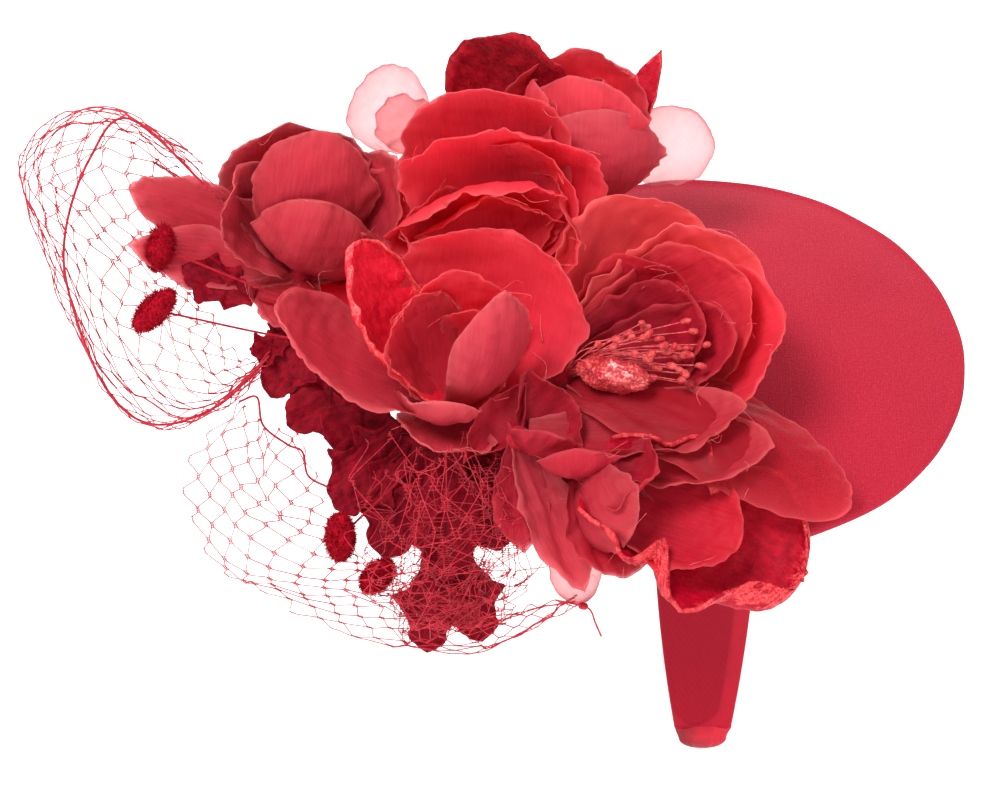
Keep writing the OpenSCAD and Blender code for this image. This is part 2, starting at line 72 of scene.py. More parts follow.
VIEW_DOWN = math.radians(15)
VIEW_FROM = 1.6
LOOK_AT = Vector((-0.068, -0.060, -0.021))

camera = bpy.data.cameras.new("camera")
camera.sensor_width = 36
camera.lens = 174.5
camera_object = bpy.data.objects.new("camera", camera)
camera_object.location = LOOK_AT + VIEW_FROM * Vector((0, -math.cos(VIEW_DOWN), math.sin(VIEW_DOWN)))
camera_object.rotation_euler = (math.pi / 2 - VIEW_DOWN, 0, 0)
bpy.context.scene.collection.objects.link(camera_object)
bpy.context.scene.camera = camera_object

# Sizes that the design fixes, in millimetres -------------

BAND_R = 66
BAND_T = 3.2
BAND_W = 34
LEG_END_W = 19
LEG_LEN = 72
LEG_TAPER = 1.7
LEG_LEAN = math.radians(4)
CROWN_HALF = math.radians(86)
RIBBON_T = 0.6
FLEX_GAP = 0.6
TIP_LEN = 8
MIDDLE_R = BAND_R + BAND_T / 2
# The near leg's flex line
HINGE = np.array([0, -BAND_R * math.sin(CROWN_HALF), -BAND_R * (1 - math.cos(CROWN_HALF)) - FLEX_GAP / 2])
# How much narrower than the satin the ribbon is, and how far it lies to one side
RIBBON_LESS = 5.5
RIBBON_SHIFT = -2.5
STRAP_SIDES = 40
BASE_R = 88
DOME_H = 16
BASE_TILT = math.radians(30)
BASE_LIFT = 60
COVER_T = 1.8
STACK_T = 4.2
EDGE_D = 4.8
LINING_T = 0.8
# The hole left on the axis of a turned shape
AXIS_GAP = 0.05
BALL_R = (BASE_R ** 2 + DOME_H ** 2) / (2 * DOME_H)


def centre(node):
    """The middle of a CAD node, in millimetres."""
    low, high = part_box(node)
    return np.array((low + high) / 2) / MM


FLOWER_AT = {
    name: centre(name + "_calyx")
    for name in ("front", "main", "top", "left", "right", "side", "low")
}
SPRAY_AT = np.array([-54, -54, 2])

# Shader trees --------------------------------------------


def colour(red, green, blue):
    """A screen colour from 0 to 255 as the linear colour that the shaders take."""
    parts = [c / 255 for c in (red, green, blue)]
    return [c / 12.92 if c < 0.04 else ((c + 0.055) / 1.055) ** 2.4 for c in parts] + [1]


def sheen(weight, rough, tint):
    """The soft light along cloth seen at a slant."""
    return {"Sheen Weight": weight, "Sheen Roughness": rough, "Sheen Tint": colour(*tint)}


class Tree:
    """A material's node tree, built by short calls."""

    def __init__(self, name):
        self.material = bpy.data.materials.new(name)
        self.material.use_nodes = True
        self.nodes = self.material.node_tree.nodes
        self.links = self.material.node_tree.links
        self.nodes.clear()
        self.out = self.nodes.new("ShaderNodeOutputMaterial")

    def add(self, kind, inputs=None, out=0, **settings):
        node = self.nodes.new("ShaderNode" + kind)
        for key, value in settings.items():
            setattr(node, key, value)
        for key, value in (inputs or {}).items():
            if isinstance(value, bpy.types.NodeSocket):
                self.links.new(value, node.inputs[key])
            else:
                node.inputs[key].default_value = value
        return node.outputs[out]

    def attribute(self, name):
        return self.add("Attribute", out="Fac", attribute_name=name)

    def place(self):
        return self.add("TexCoord", out="Object")

    def weave_place(self):
        return self.add("UVMap", uv_map="weave")

    def stretch(self, place, across, along):
        return self.add("Mapping", {"Vector": place, "Scale": (across, along, 1)})

    def noise(self, scale, detail=3, rough=0.5, place=None, distortion=0):
        return self.add("TexNoise", {
            "Vector": place or self.place(), "Scale": scale, "Detail": detail,
            "Roughness": rough, "Distortion": distortion})

    def wave(self, scale, direction, place, distortion=0.4):
        return self.add("TexWave", {
            "Vector": place, "Scale": scale, "Distortion": distortion, "Detail": 1},
            out="Fac", bands_direction=direction, wave_profile="SIN")

    def ramp(self, fac, low, high):
        """0 under low, 1 over high, smooth between."""
        return self.add("MapRange", {
            "Value": fac, "From Min": low, "From Max": high},
            interpolation_type="SMOOTHSTEP")

    def mix(self, fac, first, second):
        """A mix of sockets, linear colours or screen colours."""
        first, second = (colour(*c) if isinstance(c, tuple) and len(c) == 3 else c
                         for c in (first, second))
        return self.add("MixRGB", {"Fac": fac, "Color1": first, "Color2": second})

    def math(self, how, first, second):
        return self.add("Math", {0: first, 1: second}, operation=how)

    def bump(self, height, strength, distance, normal=None):
        inputs = {"Height": height, "Strength": strength, "Distance": distance}
        if normal:
            inputs["Normal"] = normal
        return self.add("Bump", inputs)

    def principled(self, inputs):
        return self.add("BsdfPrincipled", inputs)

    def finish(self, shader):
        self.links.new(shader, self.out.inputs["Surface"])
        return self.material


def organza(name, deep, mid, light, through=0.45, clear=0.0, rough=0.6):
    """Starched silk: painted shade toward each petal's root and sides, a light sealed edge line with a
    painted highlight band along the rim, lit through from behind.
    """
    t = Tree(name)
    cloud = t.ramp(t.noise(45, 2), 0.35, 0.65)
    # Painted shade: darker toward each petal's root and sides, following the petal's shade mark, with a
    # random cloud mixed in
    painted_shade_tone = t.math("ADD", t.math("MULTIPLY", t.attribute("painted_shade_tone"), 0.8), t.math("MULTIPLY", cloud, 0.2))
    body = t.mix(painted_shade_tone, deep, mid)
    fibres = t.noise(1, 4, 0.65, t.stretch(t.weave_place(), 1.3, 0.09), 0.3)
    body = t.mix(t.math("MULTIPLY", t.ramp(fibres, 0.35, 0.8), 0.12), body, light)
    # Painted highlight: lighter along the rim, a thin sealed edge line and a broader painted highlight band
    body = t.mix(t.math("MULTIPLY", t.attribute("edge"), 0.6), body, light)
    weave = t.math("ADD", t.wave(0.55, "X", t.weave_place()), t.wave(0.55, "Y", t.weave_place()))
    pleats = t.noise(1, 5, 0.7, t.stretch(t.weave_place(), 0.7, 0.07), 0.4)
    crumple = t.bump(pleats, 0.38, 0.0009, t.bump(t.noise(300, 5, 0.62), 0.35, 0.0005))
    crumple = t.bump(weave, 0.05, 0.0001, crumple)
    cloth = t.principled({
        "Base Color": body, "Roughness": rough, "Specular IOR Level": 0.18,
        **sheen(0.1, 0.4, light), "Normal": crumple})
    glow = t.mix(0.5, body, mid)
    lit = t.add("BsdfTranslucent", {"Color": glow, "Normal": crumple})
    shader = t.add("MixShader", {0: through, 1: cloth, 2: lit})
    gap = t.add("BsdfTransparent", {"Color": (1, 0.9, 0.9, 1)})
    change = -0.6 * clear if clear else 0.35
    hole = t.math("ADD", clear, t.math("MULTIPLY", t.attribute("edge"), change))
    return t.finish(t.add("MixShader", {0: hole, 1: shader, 2: gap}))


def velvet(name, dark, mid, bright, patch, gloss=0.5, shine=0.7):
    """Cut pile: dark face on, with painted highlights where the pile lies over and along the rim."""
    t = Tree(name)
    streak = t.noise(1, 4, 0.7, t.stretch(t.weave_place(), 0.55, 0.2), 0.4)
    lie = t.mix(0.6, t.noise(patch, 4, 0.65, distortion=0.5), streak)
    pile = t.noise(1500, 3, 0.7)
    body = t.mix(t.ramp(lie, 0.35, 0.65), dark, mid)
    # Painted highlight: bright patches where the pile lies over, more of them along the rim
    highlight_place = t.math("ADD", lie, t.math("MULTIPLY", t.attribute("edge"), 0.3 * shine))
    painted_highlight = t.math("MULTIPLY", t.ramp(highlight_place, 0.62, 0.8), t.ramp(pile, 0.3, 0.7))
    body = t.mix(t.math("MULTIPLY", painted_highlight, shine), body, bright)
    nap = t.bump(lie, 0.35, 0.0008, t.bump(pile, 0.8, 0.0004))
    return t.finish(t.principled({
        "Base Color": body, "Roughness": gloss, "Specular IOR Level": 0.12, "Normal": nap,
        **sheen(0.2 * shine, 0.3, bright)}))


def felt(name, base, dark, light, pitch):
    """Woven wool felt: a worn-soft weave with pale slubs."""
    t = Tree(name)
    place = t.weave_place()
    warp = t.wave(pitch, "X", place, 3.2)
    weft = t.wave(pitch, "Y", place, 3.2)
    weave = t.math("MULTIPLY", t.math("MAXIMUM", warp, weft), t.ramp(t.noise(1.3, 2, 0.6, place), 0.3, 0.7))
    cloud = t.noise(26, 3)
    body = t.mix(t.math("MULTIPLY", cloud, 0.5), base, dark)
    body = t.mix(t.math("MULTIPLY", weave, 0.4), body, light)
    slub = t.ramp(t.noise(0.7, 3, 0.7, place), 0.56, 0.72)
    body = t.mix(t.math("MULTIPLY", slub, 0.35), body, light)
    fuzz = t.bump(t.noise(900, 3, 0.7), 0.35, 0.0003)
    return t.finish(t.principled({
        "Base Color": body, "Roughness": 0.85, "Specular IOR Level": 0.2,
        **sheen(0.35, 0.5, light),
        "Normal": t.bump(weave, 0.35, 0.0003, fuzz)}))


def satin(name, base, dark, light, rough=0.5, gloss=0.14):
    """Satin: soft long highlights over fine lengthwise threads."""
    t = Tree(name)
    place = t.weave_place()
    threads = t.wave(1.4, "X", place, 0.6)
    fold = t.noise(60, 3, 0.5)
    # Painted shade: darker in the low parts of the fold bumps
    body = t.mix(t.ramp(fold, 0.3, 0.7), dark, base)
    body = t.mix(t.math("MULTIPLY", threads, 0.12), body, light)
    return t.finish(t.principled({
        "Base Color": body, "Roughness": rough, "Specular IOR Level": gloss,
        "Anisotropic": 0.4, **sheen(0.1, 0.3, light),
        "Normal": t.bump(fold, 0.4, 0.0006, t.bump(threads, 0.15, 0.0001))}))


def twill(name, base, dark, light):
    """Ribbon with a diagonal rib."""
    t = Tree(name)
    place = t.weave_place()
    rib = t.wave(0.34, "DIAGONAL", t.stretch(place, -1, 0.7), 0.25)
    cross = t.wave(0.7, "Y", place, 0.3)
    body = t.mix(t.ramp(rib, 0.2, 0.8), dark, base)
    body = t.mix(t.math("MULTIPLY", cross, 0.18), body, light)
    body = t.mix(t.math("MULTIPLY", t.attribute("edge"), 0.6), body, light)
    body = t.mix(t.math("MULTIPLY", t.noise(90, 3), 0.25), body, dark)
    return t.finish(t.principled({
        "Base Color": body, "Roughness": 0.6, "Specular IOR Level": 0.1,
        **sheen(0.1, 0.4, light),
        "Normal": t.bump(rib, 0.3, 0.0001, t.bump(cross, 0.15, 0.0001))}))


def thread(name, base, light, scale=700, rough=0.5, sheen=0.4):
    """Twisted thread, bound stem or felt trim."""
    t = Tree(name)
    grain = t.noise(scale, 3, 0.6)
    body = t.mix(t.ramp(grain, 0.3, 0.7), base, light)
    return t.finish(t.principled({
        "Base Color": body, "Roughness": rough, "Specular IOR Level": 0.12,
        "Sheen Weight": sheen, "Sheen Roughness": 0.4, "Normal": t.bump(grain, 0.5, 0.0003)}))


def glitter(name, base, bright):
    """Fine glitter glued over a bud."""
    t = Tree(name)
    cells = t.add("TexVoronoi", {"Vector": t.place(), "Scale": 1500}, out="Color")
    flake = t.add("SeparateColor", {"Color": cells}, out=0)
    shine = t.ramp(flake, 0.55, 0.8)
    body = t.mix(shine, base, bright)
    return t.finish(t.principled({
        "Base Color": body, "Metallic": t.math("MULTIPLY", shine, 0.4), "Roughness": 0.35,
        "Specular IOR Level": 0.6, "Normal": t.bump(flake, 0.9, 0.0006)}))


def steel(name):
    """Bright spring strip with drawn lines."""
    t = Tree(name)
    lines = t.noise(900, 2)
    body = t.mix(lines, (0.45, 0.46, 0.48, 1), (0.7, 0.71, 0.73, 1))
    return t.finish(t.principled({
        "Base Color": body, "Metallic": 1.0, "Roughness": 0.32, "Normal": t.bump(lines, 0.1, 0.0001)}))


# Deep, mid and light colours, then how much light comes through, how clear and how rough; the deep colour
# is painted shade
ORGANZA = {
    # Most rows are copies of one red organza with painted light: the brightest is a painted lit copy for
    # petals inside the flowers, and the darker ones carry painted shade for outer sides, undersides and
    # deep interiors
    "ember": ((220, 20, 60), (246, 68, 92), (255, 144, 150), 0.6),
    "coral": ((198, 10, 46), (230, 50, 72), (248, 128, 132), 0.48),
    "rose": ((190, 12, 46), (228, 54, 76), (250, 134, 140), 0.5),
    "muted": ((176, 24, 48), (206, 52, 70), (240, 130, 134), 0.38),
    "dusk": ((160, 14, 38), (196, 40, 57), (236, 116, 120), 0.38),
    "deep": ((170, 2, 36), (218, 24, 54), (242, 102, 110), 0.5),
    "wine": ((154, 2, 34), (194, 18, 48), (232, 92, 104), 0.46),
    "sheer": ((222, 132, 138), (236, 168, 172), (218, 78, 90), 0.4, 0.6, 0.4),
    "veiled": ((214, 48, 62), (238, 84, 90), (252, 140, 138), 0.45, 0.3, 0.4),
    "gauze": ((176, 18, 40), (198, 36, 56), (240, 104, 112), 0.45, 0.55, 0.4),
}
# Dark, mid and bright colours, then the size of its patches, its roughness and its shine; the bright colour
# is a painted highlight
VELVET = {
    "crushed": ((146, 0, 28), (182, 6, 36), (255, 100, 98), 300, 0.45, 0.8),
    # A brighter, painted lit copy of the crushed velvet
    "strip": ((196, 8, 38), (232, 34, 56), (255, 128, 120), 300, 0.45, 0.8),
    "leaf": ((92, 0, 16), (140, 2, 26), (186, 34, 50), 420, 0.7, 0.4),
    "plush": ((120, 0, 20), (168, 18, 34), (220, 78, 80), 260, 0.55, 0.45),
}
MATERIAL = {
    **{name: organza("organza_" + name, *look) for name, look in ORGANZA.items()},
    **{name: velvet("velvet_" + name, *look) for name, look in VELVET.items()},
    "felt": felt("felt_cover", (160, 16, 40), (134, 8, 32), (194, 56, 76), 0.32),
    "pad": felt("felt_pad", (150, 16, 34), (128, 10, 28), (176, 44, 58), 0.5),
    "lining": satin("lining_cloth", (132, 10, 30), (104, 4, 22), (176, 46, 62), 0.8, 0.05),
    "buckram": thread("buckram_shell", (222, 200, 184), (238, 224, 212), 500, 0.8, 0.1),
    "satin": satin("headband_satin", (168, 8, 36), (136, 0, 26), (210, 56, 76)),
    "gathered": satin("gathered_satin", (190, 8, 40), (112, 0, 22), (232, 80, 92), 0.42, 0.3),
    "twill": twill("twill_ribbon", (146, 10, 34), (140, 8, 30), (162, 36, 54)),
    "stem": thread("bound_stem", (132, 4, 24), (166, 20, 38), 500, 0.7, 0.1),
    "net": thread("net_thread", (160, 10, 32), (196, 46, 62), 900, 0.5, 0.1),
    "cord": thread("net_cord", (136, 6, 26), (176, 34, 50), 900, 0.5, 0.1),
    "pompon": thread("chenille", (122, 0, 18), (172, 4, 30), 700, 0.9, 0),
    "pip": thread("stamen_pip", (164, 26, 38), (210, 84, 82), 420, 0.35, 0.1),
    "filament": thread("stamen_thread", (196, 44, 58), (230, 110, 110), 600, 0.45, 0.1),
    "glitter": glitter("glitter_bud", (172, 28, 42), (222, 100, 94)),
    "steel": steel("spring_steel"),
}

# Mesh building -------------------------------------------


def unit(v):
    """Vectors at length 1."""
    return v / np.maximum(np.linalg.norm(v, axis=-1, keepdims=True), 1e-9)


def piece(name, verts, faces, look, slot, nodes=(), body="root", uv=None, marks=None, merge=0.0):
    """A mesh object in millimetres with a finish, riding on a body."""
    mesh = bpy.data.meshes.new(name)
    mesh.from_pydata((np.asarray(verts, float) * MM).tolist(), [], [list(map(int, f)) for f in faces])
    for key, values in (marks or {}).items():
        data = mesh.attributes.new(key, "FLOAT", "POINT")
        data.data.foreach_set("value", np.asarray(values, np.float32).ravel())
    if uv is not None:
        layer = mesh.uv_layers.new(name="weave")
        loops = np.zeros(len(mesh.loops), int)
        mesh.loops.foreach_get("vertex_index", loops)
        layer.data.foreach_set("uv", np.asarray(uv, np.float32)[loops].ravel())
    if merge:
        work = bmesh.new()
        work.from_mesh(mesh)
        bmesh.ops.remove_doubles(work, verts=work.verts, dist=merge * MM)
        bmesh.ops.dissolve_degenerate(work, edges=work.edges, dist=1e-7)
        work.to_mesh(mesh)
        work.free()
    mesh.polygons.foreach_set("use_smooth", [True] * len(mesh.polygons))
    mesh.materials.append(MATERIAL[look])
    thing = bpy.data.objects.new(name, mesh)
    bpy.context.scene.collection.objects.link(thing)
    if body:
        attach(thing, body)
    if nodes:
        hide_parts(*nodes)
    return thing


def grid_faces(rows, cols, start=0, closed=False):
    """Quads over a grid of (rows + 1) by (cols + 1) points, or by cols points where closed."""
    wide = cols if closed else cols + 1
    i, j = np.meshgrid(np.arange(rows), np.arange(cols), indexing="ij")
    k = (j + 1) % wide if closed else j + 1
    quads = np.stack([i * wide + j, i * wide + k, (i + 1) * wide + k, (i + 1) * wide + j], -1)
    return (quads.reshape(-1, 4) + start).tolist()


def tube_faces(rings, around):
    """The faces of a tube of rings, closed at both ends."""
    faces = grid_faces(rings - 1, around, 0, True)
    faces.append(list(range(around))[::-1])
    faces.append([(rings - 1) * around + k for k in range(around)])
    return faces


def between(grid, i, j):
    """A grid of points read at places between its rows and columns."""
    i0 = np.clip(i.astype(int), 0, grid.shape[0] - 2)
    j0 = np.clip(j.astype(int), 0, grid.shape[1] - 2)
    a, b = (i - i0)[..., None], (j - j0)[..., None]
    return ((grid[i0, j0] * (1 - a) + grid[i0 + 1, j0] * a) * (1 - b)
            + (grid[i0, j0 + 1] * (1 - a) + grid[i0 + 1, j0 + 1] * a) * b)


def grid_normals(points):
    """The normals of a sheet at its grid points."""
    return unit(np.cross(np.gradient(points, axis=0), np.gradient(points, axis=1)))


def shell(points, thick):
    """A closed thin shell about a grid of points. Returns vertices and faces."""
    rows, cols = points.shape[0] - 1, points.shape[1] - 1
    wide = cols + 1
    normal = grid_normals(points)
    low = (points - normal * thick / 2).reshape(-1, 3)
    high = (points + normal * thick / 2).reshape(-1, 3)
    count = len(low)
    faces = grid_faces(rows, cols, count)
    faces += [f[::-1] for f in grid_faces(rows, cols)]
    rim = list(range(cols)) + [i * wide + cols for i in range(rows)]
    rim += [rows * wide + j for j in range(cols, 0, -1)] + [i * wide for i in range(rows, 0, -1)]
    for k, a in enumerate(rim):
        b = rim[(k + 1) % len(rim)]
        faces.append([a, b, b + count, a + count])
    return np.vstack([low, high]), faces


def ripples(places, wavelength, rng, count=7):
    """A smooth random field over any number of coordinates, mostly between -1 and 1."""
    total = 0
    for _ in range(count):
        heading = unit(rng.normal(size=len(places)))
        pitch = 2 * math.pi / (wavelength * rng.uniform(0.6, 1.6))
        total = total + np.sin(sum(c * h for c, h in zip(places, heading)) * pitch + rng.uniform(0, 6.3))
    return total / math.sqrt(count)


def sweep(path, radius, sides):
    """A capped round tube along a path. Returns vertices and faces."""
    path = np.asarray(path, float)
    run = unit(np.gradient(path, axis=0))
    side = np.cross(run[0], [0.3, 0.5, 0.8])
    rings = []
    for k, heading in enumerate(run):
        side = unit(side - heading * (side @ heading))
        up = np.cross(heading, side)
        turn = 2 * math.pi * np.arange(sides) / sides
        r = radius[k] if hasattr(radius, "__len__") else radius
        rings.append(path[k] + r * (np.cos(turn)[:, None] * side + np.sin(turn)[:, None] * up))
    return np.vstack(rings), tube_faces(len(path), sides)


def gather(parts):
    """Joins (vertices, faces) parts, each with faces counted from 0."""
    verts, faces, count = [], [], 0
    for v, f in parts:
        verts.append(v)
        faces += [[k + count for k in face] for face in f]
        count += len(v)
    return np.vstack(verts), faces


def curve_through(points, steps):
    """A smooth curve through points, with steps pieces between each two."""
    points = np.asarray(points, float)
    ends = np.vstack([2 * points[0] - points[1], points, 2 * points[-1] - points[-2]])
    out = []
    for k in range(len(points) - 1):
        a, b, c, d = ends[k:k + 4]
        for x in np.arange(steps) / steps:
            out.append(0.5 * (2 * b + (c - a) * x + (2 * a - 5 * b + 4 * c - d) * x ** 2
                              + (3 * b - a - 3 * c + d) * x ** 3))
    return np.array(out + [points[-1]])


# Petals and leaves ---------------------------------------

# Where a petal leaves its stem, and where it is widest, as shares of its length
ROOT_U = 0.04
FULLEST = 0.6
# The edge's curl (how much of it, its radius and side), its ruffle (height, waves and depth),
# the creases, crumples and pleats, how far the tip nods, the width of the foot, the raggedness
# and teeth of the outline, the thickness, and the rows and columns of the mesh
PLAIN = dict(
    curl=1.8, curl_r=2.2, curl_side=-1, ruffle=1.1, waves=4, ruffle_w=9,
    crease=0.8, crumple=0.3, pleat=0.4, nod=0.0, foot=0.38,
    wobble=0.03, teeth=0, tooth=0.0, thick=0.25, rows=48, cols=38)


def fullness(u, sharp, foot):
    """The share of its full width that a petal has at u of its length."""
    wide = foot + (1 - foot) * np.sin(np.radians(90 / FULLEST * np.minimum(u, FULLEST)))
    end = np.maximum(1 - (np.maximum(u - FULLEST, 0) / (1 - FULLEST)) ** 2, 0) ** sharp
    return np.where(u < FULLEST, wide, end)


def petal_sheet(at, row, look, rng):
    """The middle surface of a petal as a grid, with its edge mark (sealed edge and painted highlight), its
    painted shade mark and flat places.
    """
    reach, face, width, bow, cup, sharp = row
    reach = np.array(reach, float)
    face = np.array(face, float)
    length = np.linalg.norm(reach)
    x = np.linspace(0, 1, look["rows"] + 1)[:, None]
    u = np.minimum(ROOT_U + (1 - ROOT_U) * (1 - (1 - x) ** 2.2), 0.99999)
    v = np.sin(0.5 * math.pi * np.linspace(-1, 1, look["cols"] + 1))[None, :]
    tip = at + reach
    along = reach / length
    facing = unit(face - along * (face @ along))
    mid = (at + tip) / 2 - facing * 2 * bow
    line = (1 - u[..., None]) ** 2 * at + 2 * (u * (1 - u))[..., None] * mid + u[..., None] ** 2 * tip
    t = unit(2 * (1 - u[..., None]) * (mid - at) + 2 * u[..., None] * (tip - mid))
    s = unit(np.cross(t, facing))
    n = np.cross(s, t)
    ragged = 1 + look["wobble"] * ripples([u * length, v * 9], 9, rng)
    half = width / 2 * fullness(u, sharp, look["foot"]) * ragged
    if look["teeth"]:
        lobe = np.abs(np.sin(math.pi * u * look["teeth"])) ** 0.8 * np.clip((1 - u) * 5, 0, 1)
        half = half * (1 - look["tooth"] * lobe)
    angle = math.radians(cup)
    turn = angle * v
    radius = (half / math.sin(angle))[..., None]
    points = line + s * radius * np.sin(turn)[..., None] + n * radius * (1 - np.cos(turn))[..., None]
    fan_out = turn * np.clip(half / (0.15 * width), 0, 1)
    normal = -s * np.sin(fan_out)[..., None] + n * np.cos(fan_out)[..., None]
    beside = (s * np.cos(fan_out)[..., None] + n * np.sin(fan_out)[..., None]) * np.tanh(v * 8)[..., None]

    from_side = (1 - np.abs(v)) * half * angle / math.sin(angle)
    from_tip = (1 - u) * length + 0 * v
    soft = 2.0
    near_side, near_tip = np.exp(-from_side / soft), np.exp(-from_tip / soft)
    inset = np.maximum(-soft * np.log(near_side + near_tip), 0)
    inset = np.where(u < 0.25, from_side, inset)
    outward = unit(beside * near_side[..., None] + t * near_tip[..., None])

    across, lengthwise = v * half, u * length + 0 * v
    bearing = np.arctan2(across, (u - 0.4) * length)
    fan = across / (lengthwise + 10)
    folds = ripples([fan * 14, u * 2.4 + 0 * v], 5, rng)
    folds = folds - 0.6 * np.abs(ripples([fan * 22, u * 2 + 0 * v], 5, rng))
    lift = look["crease"] * folds * np.minimum(1, 0.3 + u)
    lift = lift + look["crumple"] * ripples([across, lengthwise], 8, rng, 9)
    pleats = np.abs(ripples([fan * 60, u * 3 + 0 * v], 6, rng)) * np.clip(u * 1.5, 0, 1)
    lift = lift - look["pleat"] * pleats * (0.4 + 0.6 * np.exp(-inset / 6))
    lift = lift + look["crumple"] * 0.5 * ripples([across, lengthwise], 3.6, rng, 9)
    wave = np.sin(look["waves"] * bearing + rng.uniform(0, 6.3) + 1.2 * ripples([bearing * 4], 5, rng, 4))
    lift = lift + look["ruffle"] * wave * np.exp(-inset / look["ruffle_w"]) * np.minimum(1, u * 3)
    lift = lift + 0.25 * ripples([across, lengthwise], 4.5, rng, 9) * np.exp(-inset / 2.5)
    lift = lift * min(1, length / 36, width / 24)
    nod = look["nod"] * (np.maximum(u - 0.5, 0) / 0.5) ** 2
    points = points + normal * lift[..., None] + n * nod[..., None]

    band = look["curl"] * (0.75 + 0.35 * ripples([bearing * 5], 6, rng, 4))
    band = band * np.minimum(1, u * 2.5)
    tuck = np.maximum(band - inset, 0)
    bend = tuck / look["curl_r"]
    points = points + outward * (look["curl_r"] * np.sin(bend) - tuck)[..., None]
    points = points + normal * (look["curl_side"] * look["curl_r"] * (1 - np.cos(bend)))[..., None]
    # Edge mark: a thin sealed edge line and a broader painted highlight band along the rim; on a roll
    # curled to the hollow side, the painted highlight covers the roll
    edge = 0.6 * np.exp(-inset / 0.5) + 0.4 * np.exp(-inset / 5)
    if look["curl_side"] > 0:
        edge = np.maximum(edge, np.clip(1.6 * tuck / np.maximum(band, 0.1), 0, 1))
    # Painted shade mark: low toward the root and along the sides, high toward the tip
    painted_shade_tone = np.clip(0.15 + 0.95 * u - 0.25 * np.exp(-from_side / 9) + 0 * v, 0, 1)
    cut = (2 * half * angle / math.sin(angle)).mean(1)
    cut_area = 1.08 * length * np.sum((cut[1:] + cut[:-1]) / 2 * np.diff(u[:, 0]))
    return points, edge, painted_shade_tone, np.stack([across, lengthwise], -1), cut_area


def petal(name, at, row, look, finish, slot, node, seed):
    """One petal or leaf as a thin closed shell."""
    rng = np.random.default_rng(seed)
    points, edge, painted_shade_tone, flat, cut_area = petal_sheet(np.array(at, float), row, look, rng)
    verts, faces = shell(points, look["thick"])
    thing = piece(
        name, verts, faces, finish, slot, (node,), uv=np.tile(flat.reshape(-1, 2), (2, 1)),
        marks={"edge": np.tile(edge.ravel(), 2), "painted_shade_tone": np.tile(painted_shade_tone.ravel(), 2)}, merge=0.02)
    return thing
